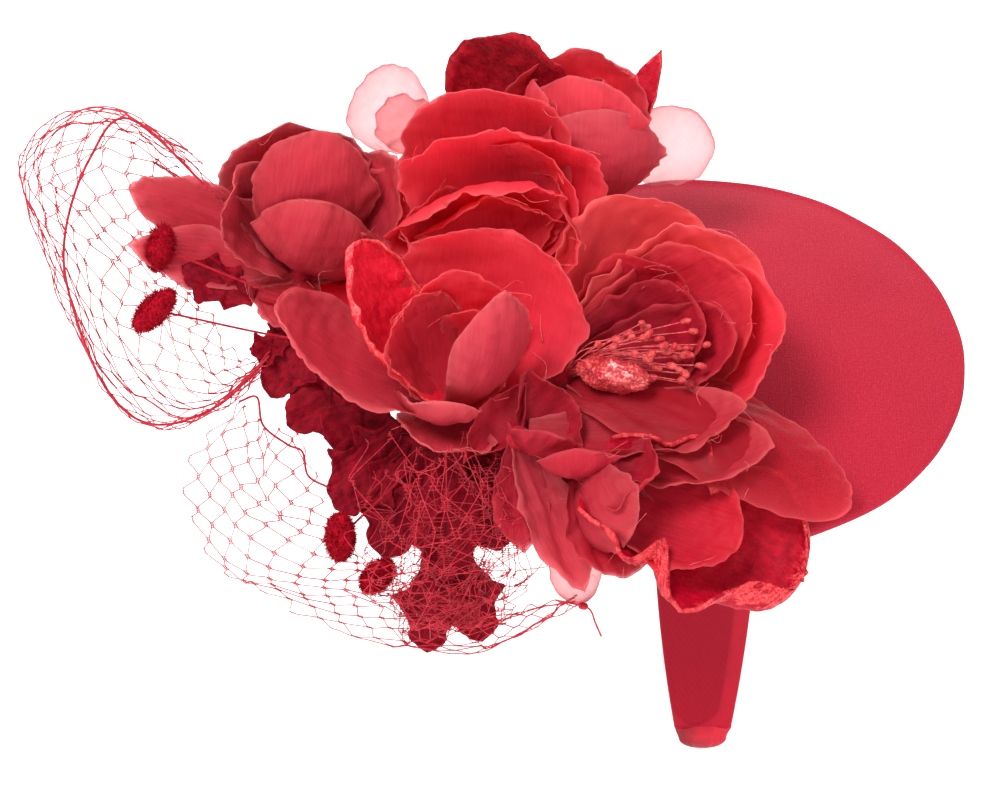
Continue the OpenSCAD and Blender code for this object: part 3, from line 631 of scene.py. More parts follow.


# Each flower's petals, as the design has them: reach from the calyx to the tip, the way the
# hollow side faces, width, bow, cup angle and tip sharpness, then the finish, most often a copy of
# the cloth with painted light and shade, and what is special about the petal
FLOWERS = {
    "front_outer_petals": ("front", "organza", [
        ("boat", ((-62, -8, 36), (0.5, -0.4, 0.8), 42, 9, 48, 0.4), "muted",
         dict(curl=4, ruffle=0.5, crease=0.3, wobble=0.01, nod=4)),
        ("teardrop", ((14, -24, 46), (-0.6, 0.8, 0.1), 32, 10, 48, 0.9), "muted",
         dict(curl=1.5, ruffle=0.3, crease=0.2, wobble=0.01)),
        ("back", ((18, 6, 62), (-0.2, -0.9, 0.1), 66, 8, 38, 0.5), "ember",
         dict(curl=2, ruffle=1.2, crease=0.7, nod=8)),
        ("lip", ((-8, -22, -8), (0.1, -0.4, 0.9), 34, 5, 40, 0.5), "muted",
         dict(ruffle=0.6, crease=0.4)),
        ("hood", ((-14, -20, 8), (0.3, 0.4, 0.8), 34, 6, 50, 0.5), "muted",
         dict(ruffle=0.5, crease=0.4, foot=0.6)),
    ]),
    "front_inner_petals": ("front", "organza", [
        ("middle", ((-2, -4, 50), (0.1, -0.9, 0.1), 44, 7, 40, 0.5), "ember",
         dict(ruffle=0.9, crease=0.6, nod=5)),
        ("left", ((-18, -10, 42), (0.6, -0.8, 0.1), 32, 7, 45, 0.5), "coral",
         dict(ruffle=0.7, crease=0.7, nod=4)),
        ("right", ((8, -6, 36), (-0.5, -0.8, 0.1), 30, 6, 45, 0.5), "ember",
         dict(ruffle=0.7, crease=0.7, nod=4)),
    ]),
    "front_velvet_petal": ("front", "crushed_velvet", [
        ("strip", ((-36, -6, 58), (0.8, -0.6, 0.1), 34, 8, 45, 0.5), "strip",
         dict(curl=5, curl_r=3, curl_side=1, thick=0.8, ruffle=0.8, crease=0.5)),
    ]),
    "main_outer_petals": ("main", "organza", [
        ("middle", ((0, 2, 60), (0, -0.9, -0.2), 68, 9, 40, 0.45), "ember",
         dict(ruffle=1.6, crease=0.8, nod=14)),
        ("back", ((-8, 10, 68), (0, -0.9, -0.2), 56, 7, 35, 0.45), "rose",
         dict(ruffle=1.4, crease=0.8, nod=12)),
        ("right", ((24, -2, 34), (-0.8, -0.5, 0.1), 46, 8, 45, 0.5), "coral", dict(nod=5)),
        ("fold", ((12, 4, 50), (-0.5, -0.8, 0), 44, 8, 45, 0.5), "ember", dict(nod=8)),
    ]),
    "main_inner_petals": ("main", "organza", [
        ("front", ((-14, -8, 42), (0, -0.9, -0.3), 62, 9, 45, 0.45), "ember",
         dict(ruffle=1.4, crease=0.8, nod=13)),
        ("left", ((-34, -6, 22), (0.7, -0.7, 0.1), 40, 6, 40, 0.5), "coral", dict(nod=5)),
        ("heart", ((-4, -8, 34), (0, -0.9, -0.1), 46, 8, 50, 0.5), "ember", dict(nod=6)),
    ]),
    "top_outer_petals": ("top", "organza", [
        ("big", ((6, -14, 36), (-0.2, 0.9, 0.2), 48, 10, 48, 0.4), "muted",
         dict(crease=0.4, ruffle=0.6, foot=0.7)),
        ("back", ((-4, 14, 54), (0, -0.9, 0.1), 48, 9, 45, 0.45), "rose", dict(nod=8)),
        ("left", ((-22, -4, 44), (0.8, 0.1, 0.2), 42, 8, 45, 0.5), "rose", dict(nod=5)),
        ("right", ((10, 4, 44), (-0.8, -0.2, 0.1), 34, 6, 45, 0.5), "rose", dict(nod=6)),
        ("wrap", ((-4, -8, 46), (0.2, 0.9, 0.1), 46, 9, 50, 0.5), "rose",
         dict(crease=0.5, ruffle=0.6, foot=0.6)),
    ]),
    "top_velvet_petals": ("top", "crushed_velvet", [
        ("dark", ((-40, 8, 57), (0.2, -0.7, -0.6), 44, 8, 35, 0.6), "plush",
         dict(curl=5, curl_r=3, thick=0.8, nod=6)),
        ("bud_leaf", ((26, 16, 50), (-0.3, -0.9, 0.2), 12, 3, 25, 1), "crushed",
         dict(curl=1, thick=0.8, ruffle=0.6)),
    ]),
    "left_outer_petals": ("left", "organza", [
        ("back", ((-4, 4, 54), (0.1, -0.9, 0.1), 48, 7, 42, 0.45), "muted", dict(nod=9)),
        ("gap", ((40, -2, 30), (-0.4, -0.8, 0.1), 32, 6, 40, 0.6), "rose", dict(nod=3)),
        ("chin", ((-8, -14, -15), (0, -0.8, 0.5), 28, 5, 40, 0.6), "muted", dict(foot=0.5)),
        ("tongue", ((-54, -8, 26), (0.2, -0.7, -0.5), 30, 9, 32, 0.8), "muted",
         dict(ruffle=1, crease=0.9, wobble=0.05, nod=-5)),
        ("inner_back", ((8, -12, 50), (-0.1, 0.9, 0.1), 40, 8, 48, 0.5), "dusk",
         dict(crease=0.5, ruffle=0.6, foot=0.6)),
        ("right", ((32, -4, 40), (-0.6, -0.7, 0.2), 34, 7, 38, 0.8), "dusk", dict(crease=0.7)),
        ("left", ((-22, -8, 38), (0.6, -0.7, 0.2), 38, 7, 42, 0.5), "muted", dict(nod=5)),
        ("under", ((34, -12, -2), (-0.1, -0.5, 0.8), 34, 6, 40, 0.6), "deep", dict(foot=0.5)),
    ]),
    "left_inner_petals": ("left", "organza", [
        ("front", ((10, -20, 28), (0, 0.8, 0.3), 40, 9, 50, 0.5), "dusk",
         dict(crease=0.4, ruffle=0.5, foot=0.7)),
        ("low", ((-56, -14, 12), (0.3, -0.8, 0.3), 20, 5, 25, 0.9), "muted",
         dict(crease=0.8, wobble=0.06)),
        ("hood", ((22, -14, 16), (-0.3, 0.8, 0.4), 34, 7, 50, 0.6), "dusk",
         dict(crease=0.4, ruffle=0.5, foot=0.7)),
    ]),
    "right_outer_petals": ("right", "organza", [
        ("back", ((44, 24, 51), (-0.2, -0.8, -0.3), 60, 9, 35, 0.5), "veiled",
         dict(ruffle=2, crease=1.2, nod=8)),
        ("middle", ((66, 14, 39), (-0.4, -0.8, -0.2), 48, 9, 40, 0.5), "veiled",
         dict(ruffle=2, crease=1.2, nod=9)),
        ("cup", ((79, -4, 20), (-0.6, -0.6, 0.4), 54, 11, 52, 0.5), "coral",
         dict(ruffle=1.4, crease=0.8, curl=3, nod=12)),
        ("lower", ((58, -16, -5), (-0.1, -0.3, 0.9), 30, 7, 40, 0.6), "dusk",
         dict(crease=0.8, ruffle=1.4)),
        ("wall", ((66, 4, 32), (-0.5, -0.8, 0), 46, 9, 50, 0.5), "coral", dict(nod=10)),
    ]),
    "right_inner_petals": ("right", "organza", [
        ("fold", ((60, -8, 17), (-0.6, -0.7, 0.2), 30, 7, 50, 0.5), "wine", dict(nod=8)),
        ("back", ((42, 10, 33), (-0.2, -0.9, 0), 40, 7, 45, 0.5), "deep", dict(nod=8)),
        ("heart", ((50, -2, 24), (-0.4, -0.9, 0.1), 34, 8, 50, 0.5), "wine", dict(nod=8)),
    ]),
    "right_sheer_petal": ("right", "sheer_organza", [
        ("disc", ((92, -36, -35), (0.1, 0.5, -0.85), 40, 12, 22, 0.5), "gauze",
         dict(curl=1, ruffle=0.8, crease=0.5, thick=0.2)),
    ]),
    "side_spray_petals": ("side", "organza", [
        ("upper", ((74, -6, 12), (0, -0.5, 0.9), 30, 7, 45, 0.6), "dusk", dict(ruffle=1.4)),
        ("lower", ((82, -16, 2), (0, -0.5, 0.9), 36, 9, 48, 0.7), "dusk", dict(ruffle=1.2)),
        ("drop", ((22, -20, -45), (0.4, -0.9, 0.1), 20, 3, 35, 1), "muted",
         dict(curl=3, crease=0.6)),
        ("short_drop", ((2, -14, -34), (0.2, -0.9, 0.1), 18, 3, 35, 1), "wine", dict(crease=0.6)),
        ("cover", ((-14, 6, 9), (0.2, -0.9, 0.3), 34, 6, 45, 0.5), "wine",
         dict(nod=2, wobble=0.01, ruffle=0.6)),
        ("inner", ((20, 5, 10), (-0.2, -0.9, 0.3), 36, 6, 45, 0.5), "wine", dict(nod=2)),
        ("hood", ((16, -14, 4), (0, 0.5, 0.8), 28, 6, 50, 0.6), "wine", dict(foot=0.8)),
    ]),
    "low_inner_petals": ("low", "organza", [
        ("bud", ((14, -16, -21), (0, 0.5, 0.4), 36, 6, 48, 0.45), "dusk",
         dict(crease=0.5, ruffle=0.5, foot=0.5)),
        ("fold", ((18, -8, -32), (0.2, -0.9, 0.2), 30, 3, 35, 0.5), "wine", dict(crease=0.8)),
        ("wide", ((52, -14, -22), (0, -0.8, 0.6), 38, 6, 45, 0.5), "deep", dict(nod=4)),
        ("cover", ((-2, -12, 10), (0, 0.6, 0.6), 28, 6, 50, 0.6), "wine", dict(foot=0.8)),
        ("wing", ((26, -14, 2), (0, -0.6, 0.8), 30, 6, 45, 0.6), "wine", dict(nod=4)),
    ]),
    "low_velvet_petal": ("low", "crushed_velvet", [
        ("big", ((74, -8, -37), (0.1, -0.8, 0.6), 62, 5, 45, 0.45), "crushed",
         dict(curl=14, curl_r=6, curl_side=1, thick=1.4, ruffle=0.4, crease=0.3, pleat=0.05, wobble=0.01,
              rows=64, cols=52)),
    ]),
}

# Loops and leaves that are not on a flower: name, root and the same row
FREE = {
    "organza_loops": ("sheer_organza", "sheer", dict(
            curl=1, ruffle=1.2, crease=0.8, thick=0.16, wobble=0.01, foot=0.2), [
        ("left_large", (-91, -30, 58), ((-24, -2, 22), (0.3, -0.9, 0.2), 30, 4, 25, 0.4)),
        ("left_small", (-91, -40, 56), ((-14, -6, 22), (0, -0.9, 0.1), 20, 3, 25, 0.8)),
        ("right", (-22, -8, 42), ((22, 4, 20), (-0.3, -0.9, 0.1), 28, 3, 20, 0.5)),
        ("low", (-46, -98, -42), ((4, -2, -37), (0.1, -0.9, 0), 18, 2, 20, 0.5)),
    ]),
    "left_velvet_leaves": ("leaf_velvet", "leaf", dict(
            curl=1, ruffle=1.2, thick=0.7, teeth=3, tooth=0.4, rows=64, crease=0.8), [
        ("a", (-148, -46, 10), ((-24, -4, 12), (0, -0.8, 0.5), 20, 2, 15, 1)),
        ("b", (-138, -50, -2), ((-12, -6, -4), (0, -0.8, 0.5), 14, 2, 15, 1)),
        ("c", (-130, -50, 8), ((-14, -8, -28), (-0.4, -0.8, 0.2), 30, 3, 25, 0.9)),
        ("d", (-116, -58, -14), ((-22, -6, -14), (0, -0.8, 0.4), 30, 2, 15, 1)),
    ]),
    "low_velvet_leaves": ("leaf_velvet", "leaf", dict(
            curl=1, ruffle=1.8, thick=0.7, teeth=3, tooth=0.4, rows=64, crease=1.2), [
        ("a", (-98, -72, -26), ((-24, -8, -26), (-0.3, -0.9, 0.1), 32, 3, 30, 0.9)),
        ("b", (-94, -76, -28), ((-12, -8, -40), (-0.1, -0.9, 0.1), 32, 3, 30, 0.9)),
        ("c", (-86, -82, -30), ((0, -8, -44), (0, -0.9, 0.1), 34, 3, 30, 0.9)),
        ("d", (-78, -78, -30), ((10, 2, -38), (0.1, -0.9, 0.1), 30, 3, 30, 0.9)),
        ("e", (-104, -66, -22), ((-22, -2, -10), (-0.2, -0.9, 0.2), 34, 3, 30, 0.9)),
        ("f", (-92, -74, -24), ((8, -6, -26), (0, -0.9, 0.1), 36, 3, 30, 0.8)),
    ]),
    "jagged_velvet_leaf": ("leaf_velvet", "leaf", dict(
            curl=1, ruffle=1.6, thick=0.7, teeth=2, tooth=0.5, rows=72, crease=1.2), [
        ("a", (-88, -80, -66), ((-4, -6, -34), (0, -0.9, 0.2), 30, 2, 20, 0.9)),
        ("b", (-82, -80, -66), ((8, -6, -30), (0, -0.9, 0.2), 26, 2, 20, 0.9)),
    ]),
}


def make_petals():
    seed = 100
    for node, (flower, slot, rows) in FLOWERS.items():
        for name, row, finish, special in rows:
            seed += 1
            petal(f"{node}_{name}", FLOWER_AT[flower], row, {**PLAIN, **special},
                  finish, slot, node, seed)
    for node, (slot, finish, special, rows) in FREE.items():
        for name, root, row in rows:
            seed += 1
            petal(f"{node}_{name}", root, row, {**PLAIN, **special}, finish, slot, node, seed)


def fray(name, node, flower, seed, count):
    """Loose threads at the cut edges of a flower's petals."""
    rng = np.random.default_rng(seed)
    _, slot, rows = FLOWERS[node]
    parts = []
    for k in range(count):
        _, row, _, special = rows[k % len(rows)]
        look = {**PLAIN, **special, "rows": 24, "cols": 16}
        grid = petal_sheet(FLOWER_AT[flower], row, look, rng)[0]
        i, j = int(rng.integers(12, 23)), int(rng.choice([0, 16]))
        foot = grid[i, j]
        away = unit(foot - grid[i, 8]) + rng.normal(size=3) * 0.5
        bend = rng.normal(size=3) * 1.5
        long = rng.uniform(3, 8)
        path = [foot, foot + away * long * 0.5 + bend, foot + away * long]
        parts.append(sweep(curve_through(path, 5), 0.07, 4))
    piece(name, *gather(parts), "filament", slot, (node,))


# Netting -------------------------------------------------

LEFT_VEIL = [
    [
        (-144, -60, -6), (-161, -68, -21), (-182, -72, -26), (-197, -74, -13), (-208, -74, 18),
        (-209, -72, 39), (-201, -68, 62), (-188, -62, 74), (-160, -56, 46)
    ],
    [
        (-143, -45, -11), (-160, -45, -26), (-180, -46, -32), (-201, -48, -14), (-216, -48, 22),
        (-226, -46, 50), (-217, -45, 68), (-196, -45, 74), (-170, -44, 60)
    ],
    [
        (-143, -18, -15), (-157, -16, -29), (-175, -14, -32), (-193, -12, -12), (-205, -12, 19),
        (-213, -14, 39), (-207, -16, 54), (-193, -18, 58), (-174, -20, 46)
    ],
    [
        (-144, -28, -11), (-150, -26, -16), (-158, -24, -13), (-165, -22, -2), (-169, -22, 8),
        (-170, -24, 18), (-168, -26, 27), (-164, -28, 34), (-158, -30, 34)
    ],
]
LOW_VEIL = [
    [
        (-154, -60, -22), (-165, -62, -31), (-172, -66, -43), (-170, -72, -58), (-162, -80, -73),
        (-139, -88, -84), (-110, -94, -93), (-78, -98, -97), (-40, -96, -78)
    ],
    [
        (-134, -64, -33), (-130, -68, -42), (-126, -76, -51), (-120, -84, -58), (-112, -96, -64),
        (-100, -100, -68), (-88, -104, -73), (-72, -106, -79), (-48, -102, -76)
    ],
]
LOW_CORD = [
    (-154, -62, -21), (-148, -64, -19), (-146, -66, -28), (-138, -68, -34), (-133, -70, -36),
    (-131, -74, -43), (-124, -78, -46)
]
# The thread that hangs from the low net's knot
KNOT_TAIL = [(-50, -102, -77), (-44, -103, -78), (-39, -102, -80), (-37, -101, -85), (-35, -100, -90)]
THREAD_R = 0.19


def loft(edges, bulge=0.0):
    """A function from (s, t) between 0 and 1 to points on a smooth sheet through the edges."""
    lines = np.array([curve_through(e, 16) for e in edges])
    if len(lines) > 2:
        sheet = np.stack([curve_through(lines[:, k], 12) for k in range(lines.shape[1])])
    else:
        across = np.linspace(0, 1, 25)[None, :, None]
        sheet = lines[0][:, None] * (1 - across) + lines[1][:, None] * across
        sheet = sheet - np.array([0, bulge, 0]) * np.sin(math.pi * across)
    step = np.linalg.norm(np.diff(sheet, axis=0), axis=-1).mean(1)
    run = np.concatenate([[0], np.cumsum(step)]) / step.sum()
    wide = np.linalg.norm(np.diff(sheet, axis=1), axis=-1).mean(0)
    over = np.concatenate([[0], np.cumsum(wide)]) / wide.sum()

    def at(s, t):
        row = np.interp(s, run, np.arange(len(run)))
        return between(sheet, row, np.interp(t, over, np.arange(len(over))))

    return at, step.sum(), wide.sum()


def net_parts(at, cells, rows, rng, knot=0.22, stray=0.35, drift=1.2, radius=THREAD_R):
    """Threads and knots of a net: cells along it and rows across it."""
    steps = 2 * cells
    h, j = np.meshgrid(np.arange(steps + 1), np.arange(rows + 1), indexing="ij")
    shift = rng.normal(size=(steps + 1, rows + 1, 3)) * stray
    for axis in range(3):
        shift[..., axis] += drift * ripples([h * 1.0, j * 1.4], 6, rng)

    def place(h, row, along=0.0, aside=0.0):
        s = np.clip((h + along) / steps, 0, 1)
        t = np.clip((row + aside) / rows, 0, 1)
        return at(s, t) + shift[h, row]

    parts = []
    h = np.arange(steps + 1)
    for j in range(rows):
        near = (h + j) % 2 == 0
        row = np.where(near, j, j + 1)
        lean = np.where(near, 1.0, -1.0)
        ends = [place(h, row, a, lean * b) for a, b in ((-knot, 0.14), (0.0, 0.09), (knot, 0.14))]
        parts.append(sweep(curve_through(np.stack(ends, 1).reshape(-1, 3), 3), radius, 4))
    for j in range(rows + 1):
        for k in h[(h + j) % 2 == 0]:
            for a in (-0.8, -0.27, 0.27, 0.8):
                ends = [place(k, j, a * knot, b) for b in (-0.2, 0.2)]
                parts.append(sweep(np.array(ends), 0.75 * radius, 4))
    return parts


def make_netting():
    rng = np.random.default_rng(7)
    at, *left_size = loft(LEFT_VEIL)
    net = net_parts(at, round(left_size[0] / 12.5), round(left_size[1] / 3.9), rng)
    left = piece("left_veil_net", *gather(net), "net", "netting", ("left_veil",))
    at, *low_size = loft(LOW_VEIL, 6)
    knot = ball((-41, -102, -79), (1, 0, -0.2), 3.4, 1.3, 10, 8, 0.15, rng)
    net = net_parts(at, round(low_size[0] / 10), round(low_size[1] / 3.6), rng)
    net += [sweep(curve_through(KNOT_TAIL, 6), 0.3, 6), knot]
    low = piece("low_veil_net", *gather(net), "net", "netting", ("low_veil",))

    bunch = ((4, -12, -54), (0, 0.9, 0.1), 40, 5, 45, 0.5)
    layers = []
    for k in range(6):
        look = {**PLAIN, "ruffle": 4, "crease": 3, "curl": 0.01, "foot": 0.7, "wobble": 0.12}
        grid = petal_sheet(np.array([-86 + rng.uniform(-7, 7), -92, -28.0]), bunch, look, rng)[0]
        grid = grid + np.array([0, 1.4 * (k - 3.5), 0])

        def on_grid(s, t, grid=grid):
            return between(grid, s * (grid.shape[0] - 1), t * (grid.shape[1] - 1))

        layers.append(gather(net_parts(on_grid, 5, 8, rng, stray=0.9, drift=4, radius=0.15)))
    # The back layers take the darker cord thread: painted shade behind the front layers
    piece("bunched_veil_back_painted_shade", *gather(layers[3:]), "cord", "netting", ("bunched_veil",))
    piece("bunched_veil_front", *gather(layers[:3]), "net", "netting", ("bunched_veil",))

    left_cord = piece("left_veil_edge_cord", *sweep(curve_through(LEFT_VEIL[0], 10), 0.45, 8),
                      "cord", "netting", ("left_veil_cord",))
    low_cord = piece("low_veil_draw_cord", *sweep(curve_through(LOW_CORD, 8), 0.4, 8),
                     "cord", "netting", ("low_veil_cord",))


# Stems, stamens, bud and pompons -------------------------

# Where the stamens reach from the right flower
STAMENS = [
    (22, -16, 24), (30, -14, 22), (36, -16, 18), (40, -12, 14), (44, -14, 10), (34, -20, 12),
    (46, -10, 18), (28, -20, 17), (38, -18, 5), (16, -18, 20), (42, -8, 24), (26, -10, 28)
]
# Each pompon's middle, half its core and its radius
POMPONS = [
    ((-180, -50, 28), (1, 0, 4), 5), ((-182, -54, 8), (4, 0, 4), 5),
    ((-120, -94, -58), (0, 0, 4), 5.5), ((-108, -92, -72), (2, 0, 2), 5)
]

# Fibres on each pompon
FIBRES = 2200


def make_stems():
    leaf_roots = [root for node in FREE if "velvet" in node for _, root, _ in FREE[node][3]]
    pompon_roots = [at for at, _, _ in POMPONS]
    for node, roots, bend, end, radius, sides in (
            ("flower_stems", FLOWER_AT.values(), (0, 6, -4), (0, 0, 0), 1.0, 10),
            ("leaf_wires", leaf_roots, (-4, 4, -6), (-4, 2, -3), 0.6, 8),
            ("pompon_wires", pompon_roots, (-6, 0, -8), (-6, 4, -4), 0.4, 8)):
        parts = []
        for root in roots:
            at = np.array(root, float)
            knee = (at + SPRAY_AT) / 2 + bend
            parts.append(sweep(curve_through([at, knee, SPRAY_AT + end], 8), radius, sides))
        piece("wrapped_" + node, *gather(parts), "stem", "bound_stem", (node,))


def ball(at, axis, length, radius, around, along, lump, rng):
    """A long lumpy ball about axis, length from end to end."""
    axis = unit(np.array(axis, float))
    side = unit(np.cross(axis, [0.2, 0.9, 0.4]))
    up = np.cross(axis, side)
    polar = np.linspace(0.02, math.pi - 0.02, along + 1)[:, None]
    turn = (2 * math.pi * np.arange(around) / around)[None, :]
    r = radius * np.sin(polar)
    r = r * (1 + lump * ripples([polar * 3, np.cos(turn), np.sin(turn)], 1.2, rng))
    points = (np.array(at, float) + axis * (-length / 2 * np.cos(polar))[..., None]
              + side * (r * np.cos(turn))[..., None] + up * (r * np.sin(turn))[..., None])
    return points.reshape(-1, 3), tube_faces(along + 1, around)


def make_heart():
    rng = np.random.default_rng(21)
    right = FLOWER_AT["right"]
    threads, pips = [], []
    for reach in STAMENS:
        for twin in range(3):
            tip = right + np.array(reach) * [1, 1, 0.74] * (1 - 0.09 * twin)
            tip = tip + rng.normal(size=3) * (2.4 if twin else 0.3)
            knee = (right + tip) / 2 + [0, 0, 3] + rng.normal(size=3) * 1.2
            threads.append(sweep(curve_through([right, knee, tip], 7), 0.17, 5))
            heading = unit(tip - knee) + rng.normal(size=3) * 0.35
            long, radius = rng.uniform(3.2, 4.4), rng.uniform(1.0, 1.35)
            pips.append(ball(tip + unit(heading) * 1.1, heading, long, radius, 9, 7, 0.12, rng))
    piece("stamen_filaments", *gather(threads), "filament", "stamen", ("stamen_threads",))
    piece("stamen_seed_pips", *gather(pips), "pip", "stamen", ("stamen_pips",))
    middle = right + np.array([16.5, -13.5, 4.4])
    verts, faces = ball(middle, (16, -10, -1), 27, 5.6, 72, 60, 0.1, rng)
    grain = ripples(list(verts.T), 1.3, rng, 14)
    verts = middle + (verts - middle) * (1 + 0.035 * grain[:, None])
    piece("glitter_bud", verts, faces, "glitter", "glitter", ("glitter_cone",))


def make_pompons():
    rng = np.random.default_rng(31)
    parts = []
    for at, half, radius in POMPONS:
        at, half = np.array(at, float), np.array(half, float)
        long = 2 * np.linalg.norm(half) + 2 * radius
        parts.append(ball(at, half, long * 0.86, radius * 0.86, 20, 16, 0.06, rng))
        axis = unit(half)
        side = unit(np.cross(axis, [0.2, 0.9, 0.4]))
        up = np.cross(axis, side)
        for _ in range(FIBRES):
            polar = math.acos(rng.uniform(-1, 1))
            turn = rng.uniform(0, 2 * math.pi)
            away = axis * math.cos(polar) + math.sin(polar) * (side * math.cos(turn) + up * math.sin(turn))
            foot = at + axis * math.cos(polar) * long * 0.4 + (away - axis * (away @ axis)) * radius * 0.8
            tip = foot + (away + rng.normal(size=3) * 0.35) * rng.uniform(0.7, 1.5)
            parts.append(sweep(np.array([foot, (foot + tip) / 2, tip]), [0.14, 0.11, 0.04], 3))
    piece("chenille_pompons", *gather(parts), "pompon", "chenille", ("pompons",))


# Base ----------------------------------------------------


def on_base(local):
    """Base-local places to the row frame."""
    local = np.asarray(local, float) + [0, 0, BASE_LIFT]
    c, s = math.cos(BASE_TILT), math.sin(BASE_TILT)
    turn = np.array([[1, 0, 0], [0, c, -s], [0, s, c]])
    return local @ turn.T - [0, 0, BAND_R]


def revolve(profile, around, rng, lump, wavelength):
    """Turns a (radius, height) profile about the base's axis, with soft lumps."""
    profile = np.asarray(profile, float)
    turn = 2 * math.pi * np.arange(around) / around
    r, z = profile[:, 0][:, None], profile[:, 1][:, None]
    x, y = r * np.cos(turn), r * np.sin(turn)
    points = np.stack([x, y, z + 0 * x], -1)
    rise = lump * ripples([x, y, z + 0 * x], wavelength, rng, 10)
    slope = unit(np.gradient(profile, axis=0))
    out = np.stack([-slope[:, 1:] * np.cos(turn), -slope[:, 1:] * np.sin(turn), slope[:, :1] + 0 * x], -1)
    points = points - out * rise[..., None]
    faces = grid_faces(len(profile) - 1, around, 0, True)
    return points.reshape(-1, 3), faces, np.stack([x, y + z], -1).reshape(-1, 2)


def arc(radius, height, size, start, end, count):
    """Part of a circle of a given size about (radius, height), between two angles in degrees."""
    turn = np.radians(np.linspace(start, end, count))
    return np.stack([radius + size * np.cos(turn), height + size * np.sin(turn)], -1)


def make_base():
    rng = np.random.default_rng(41)
    stack_r = BASE_R - EDGE_D / 2 - 1
    dome_z = DOME_H - BALL_R
    roll_r, turned_r, lining_r = stack_r - 1.6, stack_r - 4.5, stack_r - 3.4
    ring_r = BASE_R - EDGE_D / 2
    ring_z = dome_z + math.sqrt((BALL_R - STACK_T / 2) ** 2 - stack_r ** 2)

    def dome(start, end, count, depth):
        """A (radius, height) line on the dome, depth below its face."""
        r = np.linspace(start, end, count)
        return np.stack([r, dome_z + np.sqrt((BALL_R - depth) ** 2 - r ** 2)], -1)

    over = dome(AXIS_GAP, roll_r, 64, 0)
    under = dome(roll_r, turned_r, 4, STACK_T + 0.1)
    inside = dome(turned_r, AXIS_GAP, 30, COVER_T)
    profile = np.vstack([over, arc(ring_r, ring_z, EDGE_D / 2, 100, -110, 18), under, inside])
    verts, faces, flat = revolve(profile, 160, rng, 0.22, 30)
    piece("felt_button_cover", on_base(verts), faces, "felt", "felt",
          ("base_cover", "edge_binding"), uv=flat, marks={"edge": np.zeros(len(verts))})
    top = dome(AXIS_GAP, lining_r, 50, STACK_T - LINING_T)
    bottom = dome(AXIS_GAP, lining_r, 50, STACK_T)[::-1]
    verts, faces, flat = revolve(np.vstack([top, bottom]), 160, rng, 0.0, 20)
    turn = np.arctan2(verts[:, 1], verts[:, 0])
    radius = np.hypot(verts[:, 0], verts[:, 1])
    low = np.arange(len(verts)) >= len(verts) // 2
    pleat = 0.35 * np.sin(64 * turn) * np.clip((radius - 50) / 30, 0, 1) * low
    verts[:, 2] -= np.abs(pleat)
    piece("gathered_lining", on_base(verts), faces, "lining", "lining", ("base_lining",), uv=flat)


# Headband ------------------------------------------------


def over_crown(angle):
    """Places along the band's middle over the crown, with the outward directions."""
    outs = np.stack([0 * angle, -np.sin(angle), np.cos(angle)], -1)
    return outs * MIDDLE_R - [0, 0, BAND_R], outs


def down_leg(drop):
    """Places along the near leg's middle at lengths below the flex line, with the outward directions."""
    c, s = math.cos(LEG_LEAN), math.sin(LEG_LEAN)
    y, z = -BAND_T / 2, -FLEX_GAP / 2 - drop
    places = HINGE + np.stack([0 * drop, y * c - z * s, y * s + z * c], -1)
    return places, np.tile([0, -c, -s], (len(drop), 1))


def band_line(crown_from, leg_to, side, count):
    """Places along the band's middle from an angle over the crown to a length down the leg.
    Returns the middles, the outward directions and the lengths below the flex line."""
    crown = np.linspace(crown_from, CROWN_HALF, count)
    drop = np.linspace(1.0, leg_to, count * 2)
    parts = over_crown(crown), down_leg(drop)
    points, outs = (np.vstack(pair) * [1, side, 1] for pair in zip(*parts))
    return points, outs, np.concatenate([(crown - CROWN_HALF) * MIDDLE_R, drop])


def strap(middles, outs, widths, thick, rng, puff=0.0, offset=0.0, shift=0.0):
    """A flat strap with round edges, swept along the band."""
    turn = 2 * math.pi * np.arange(STRAP_SIDES) / STRAP_SIDES
    corner = 0.35
    x = np.sign(np.cos(turn)) * np.abs(np.cos(turn)) ** corner
    y = np.sign(np.sin(turn)) * np.abs(np.sin(turn)) ** 0.7
    across = widths[:, None] / 2 * x + shift
    out = thick / 2 * y + offset + 0 * across
    run = np.arange(len(middles))[:, None] * 1.0 + 0 * across
    out = out + puff * ripples([across, run * 2], 9, rng, 8) * np.sign(y) * 0.5
    points = middles[:, None] + outs[:, None] * out[..., None] + np.array([1, 0, 0]) * across[..., None]
    length = np.concatenate([[0], np.cumsum(np.linalg.norm(np.diff(middles, axis=0), axis=1))])
    flat = np.stack([across, length[:, None] + 0 * across], -1).reshape(-1, 2)
    return points.reshape(-1, 3), tube_faces(len(middles), STRAP_SIDES), flat


def ribbon_strap(middles, outs, widths, rng):
    """The ribbon on the band's outer face, a little to one side."""
    return strap(middles, outs, widths, RIBBON_T, rng, 0.0, (BAND_T + RIBBON_T) / 2, RIBBON_SHIFT)


def leg_width(drop):
    """The width of the satin at a length down the leg."""
    return BAND_W - (BAND_W - LEG_END_W) * (np.clip(drop, 0, None) / LEG_LEN) ** LEG_TAPER


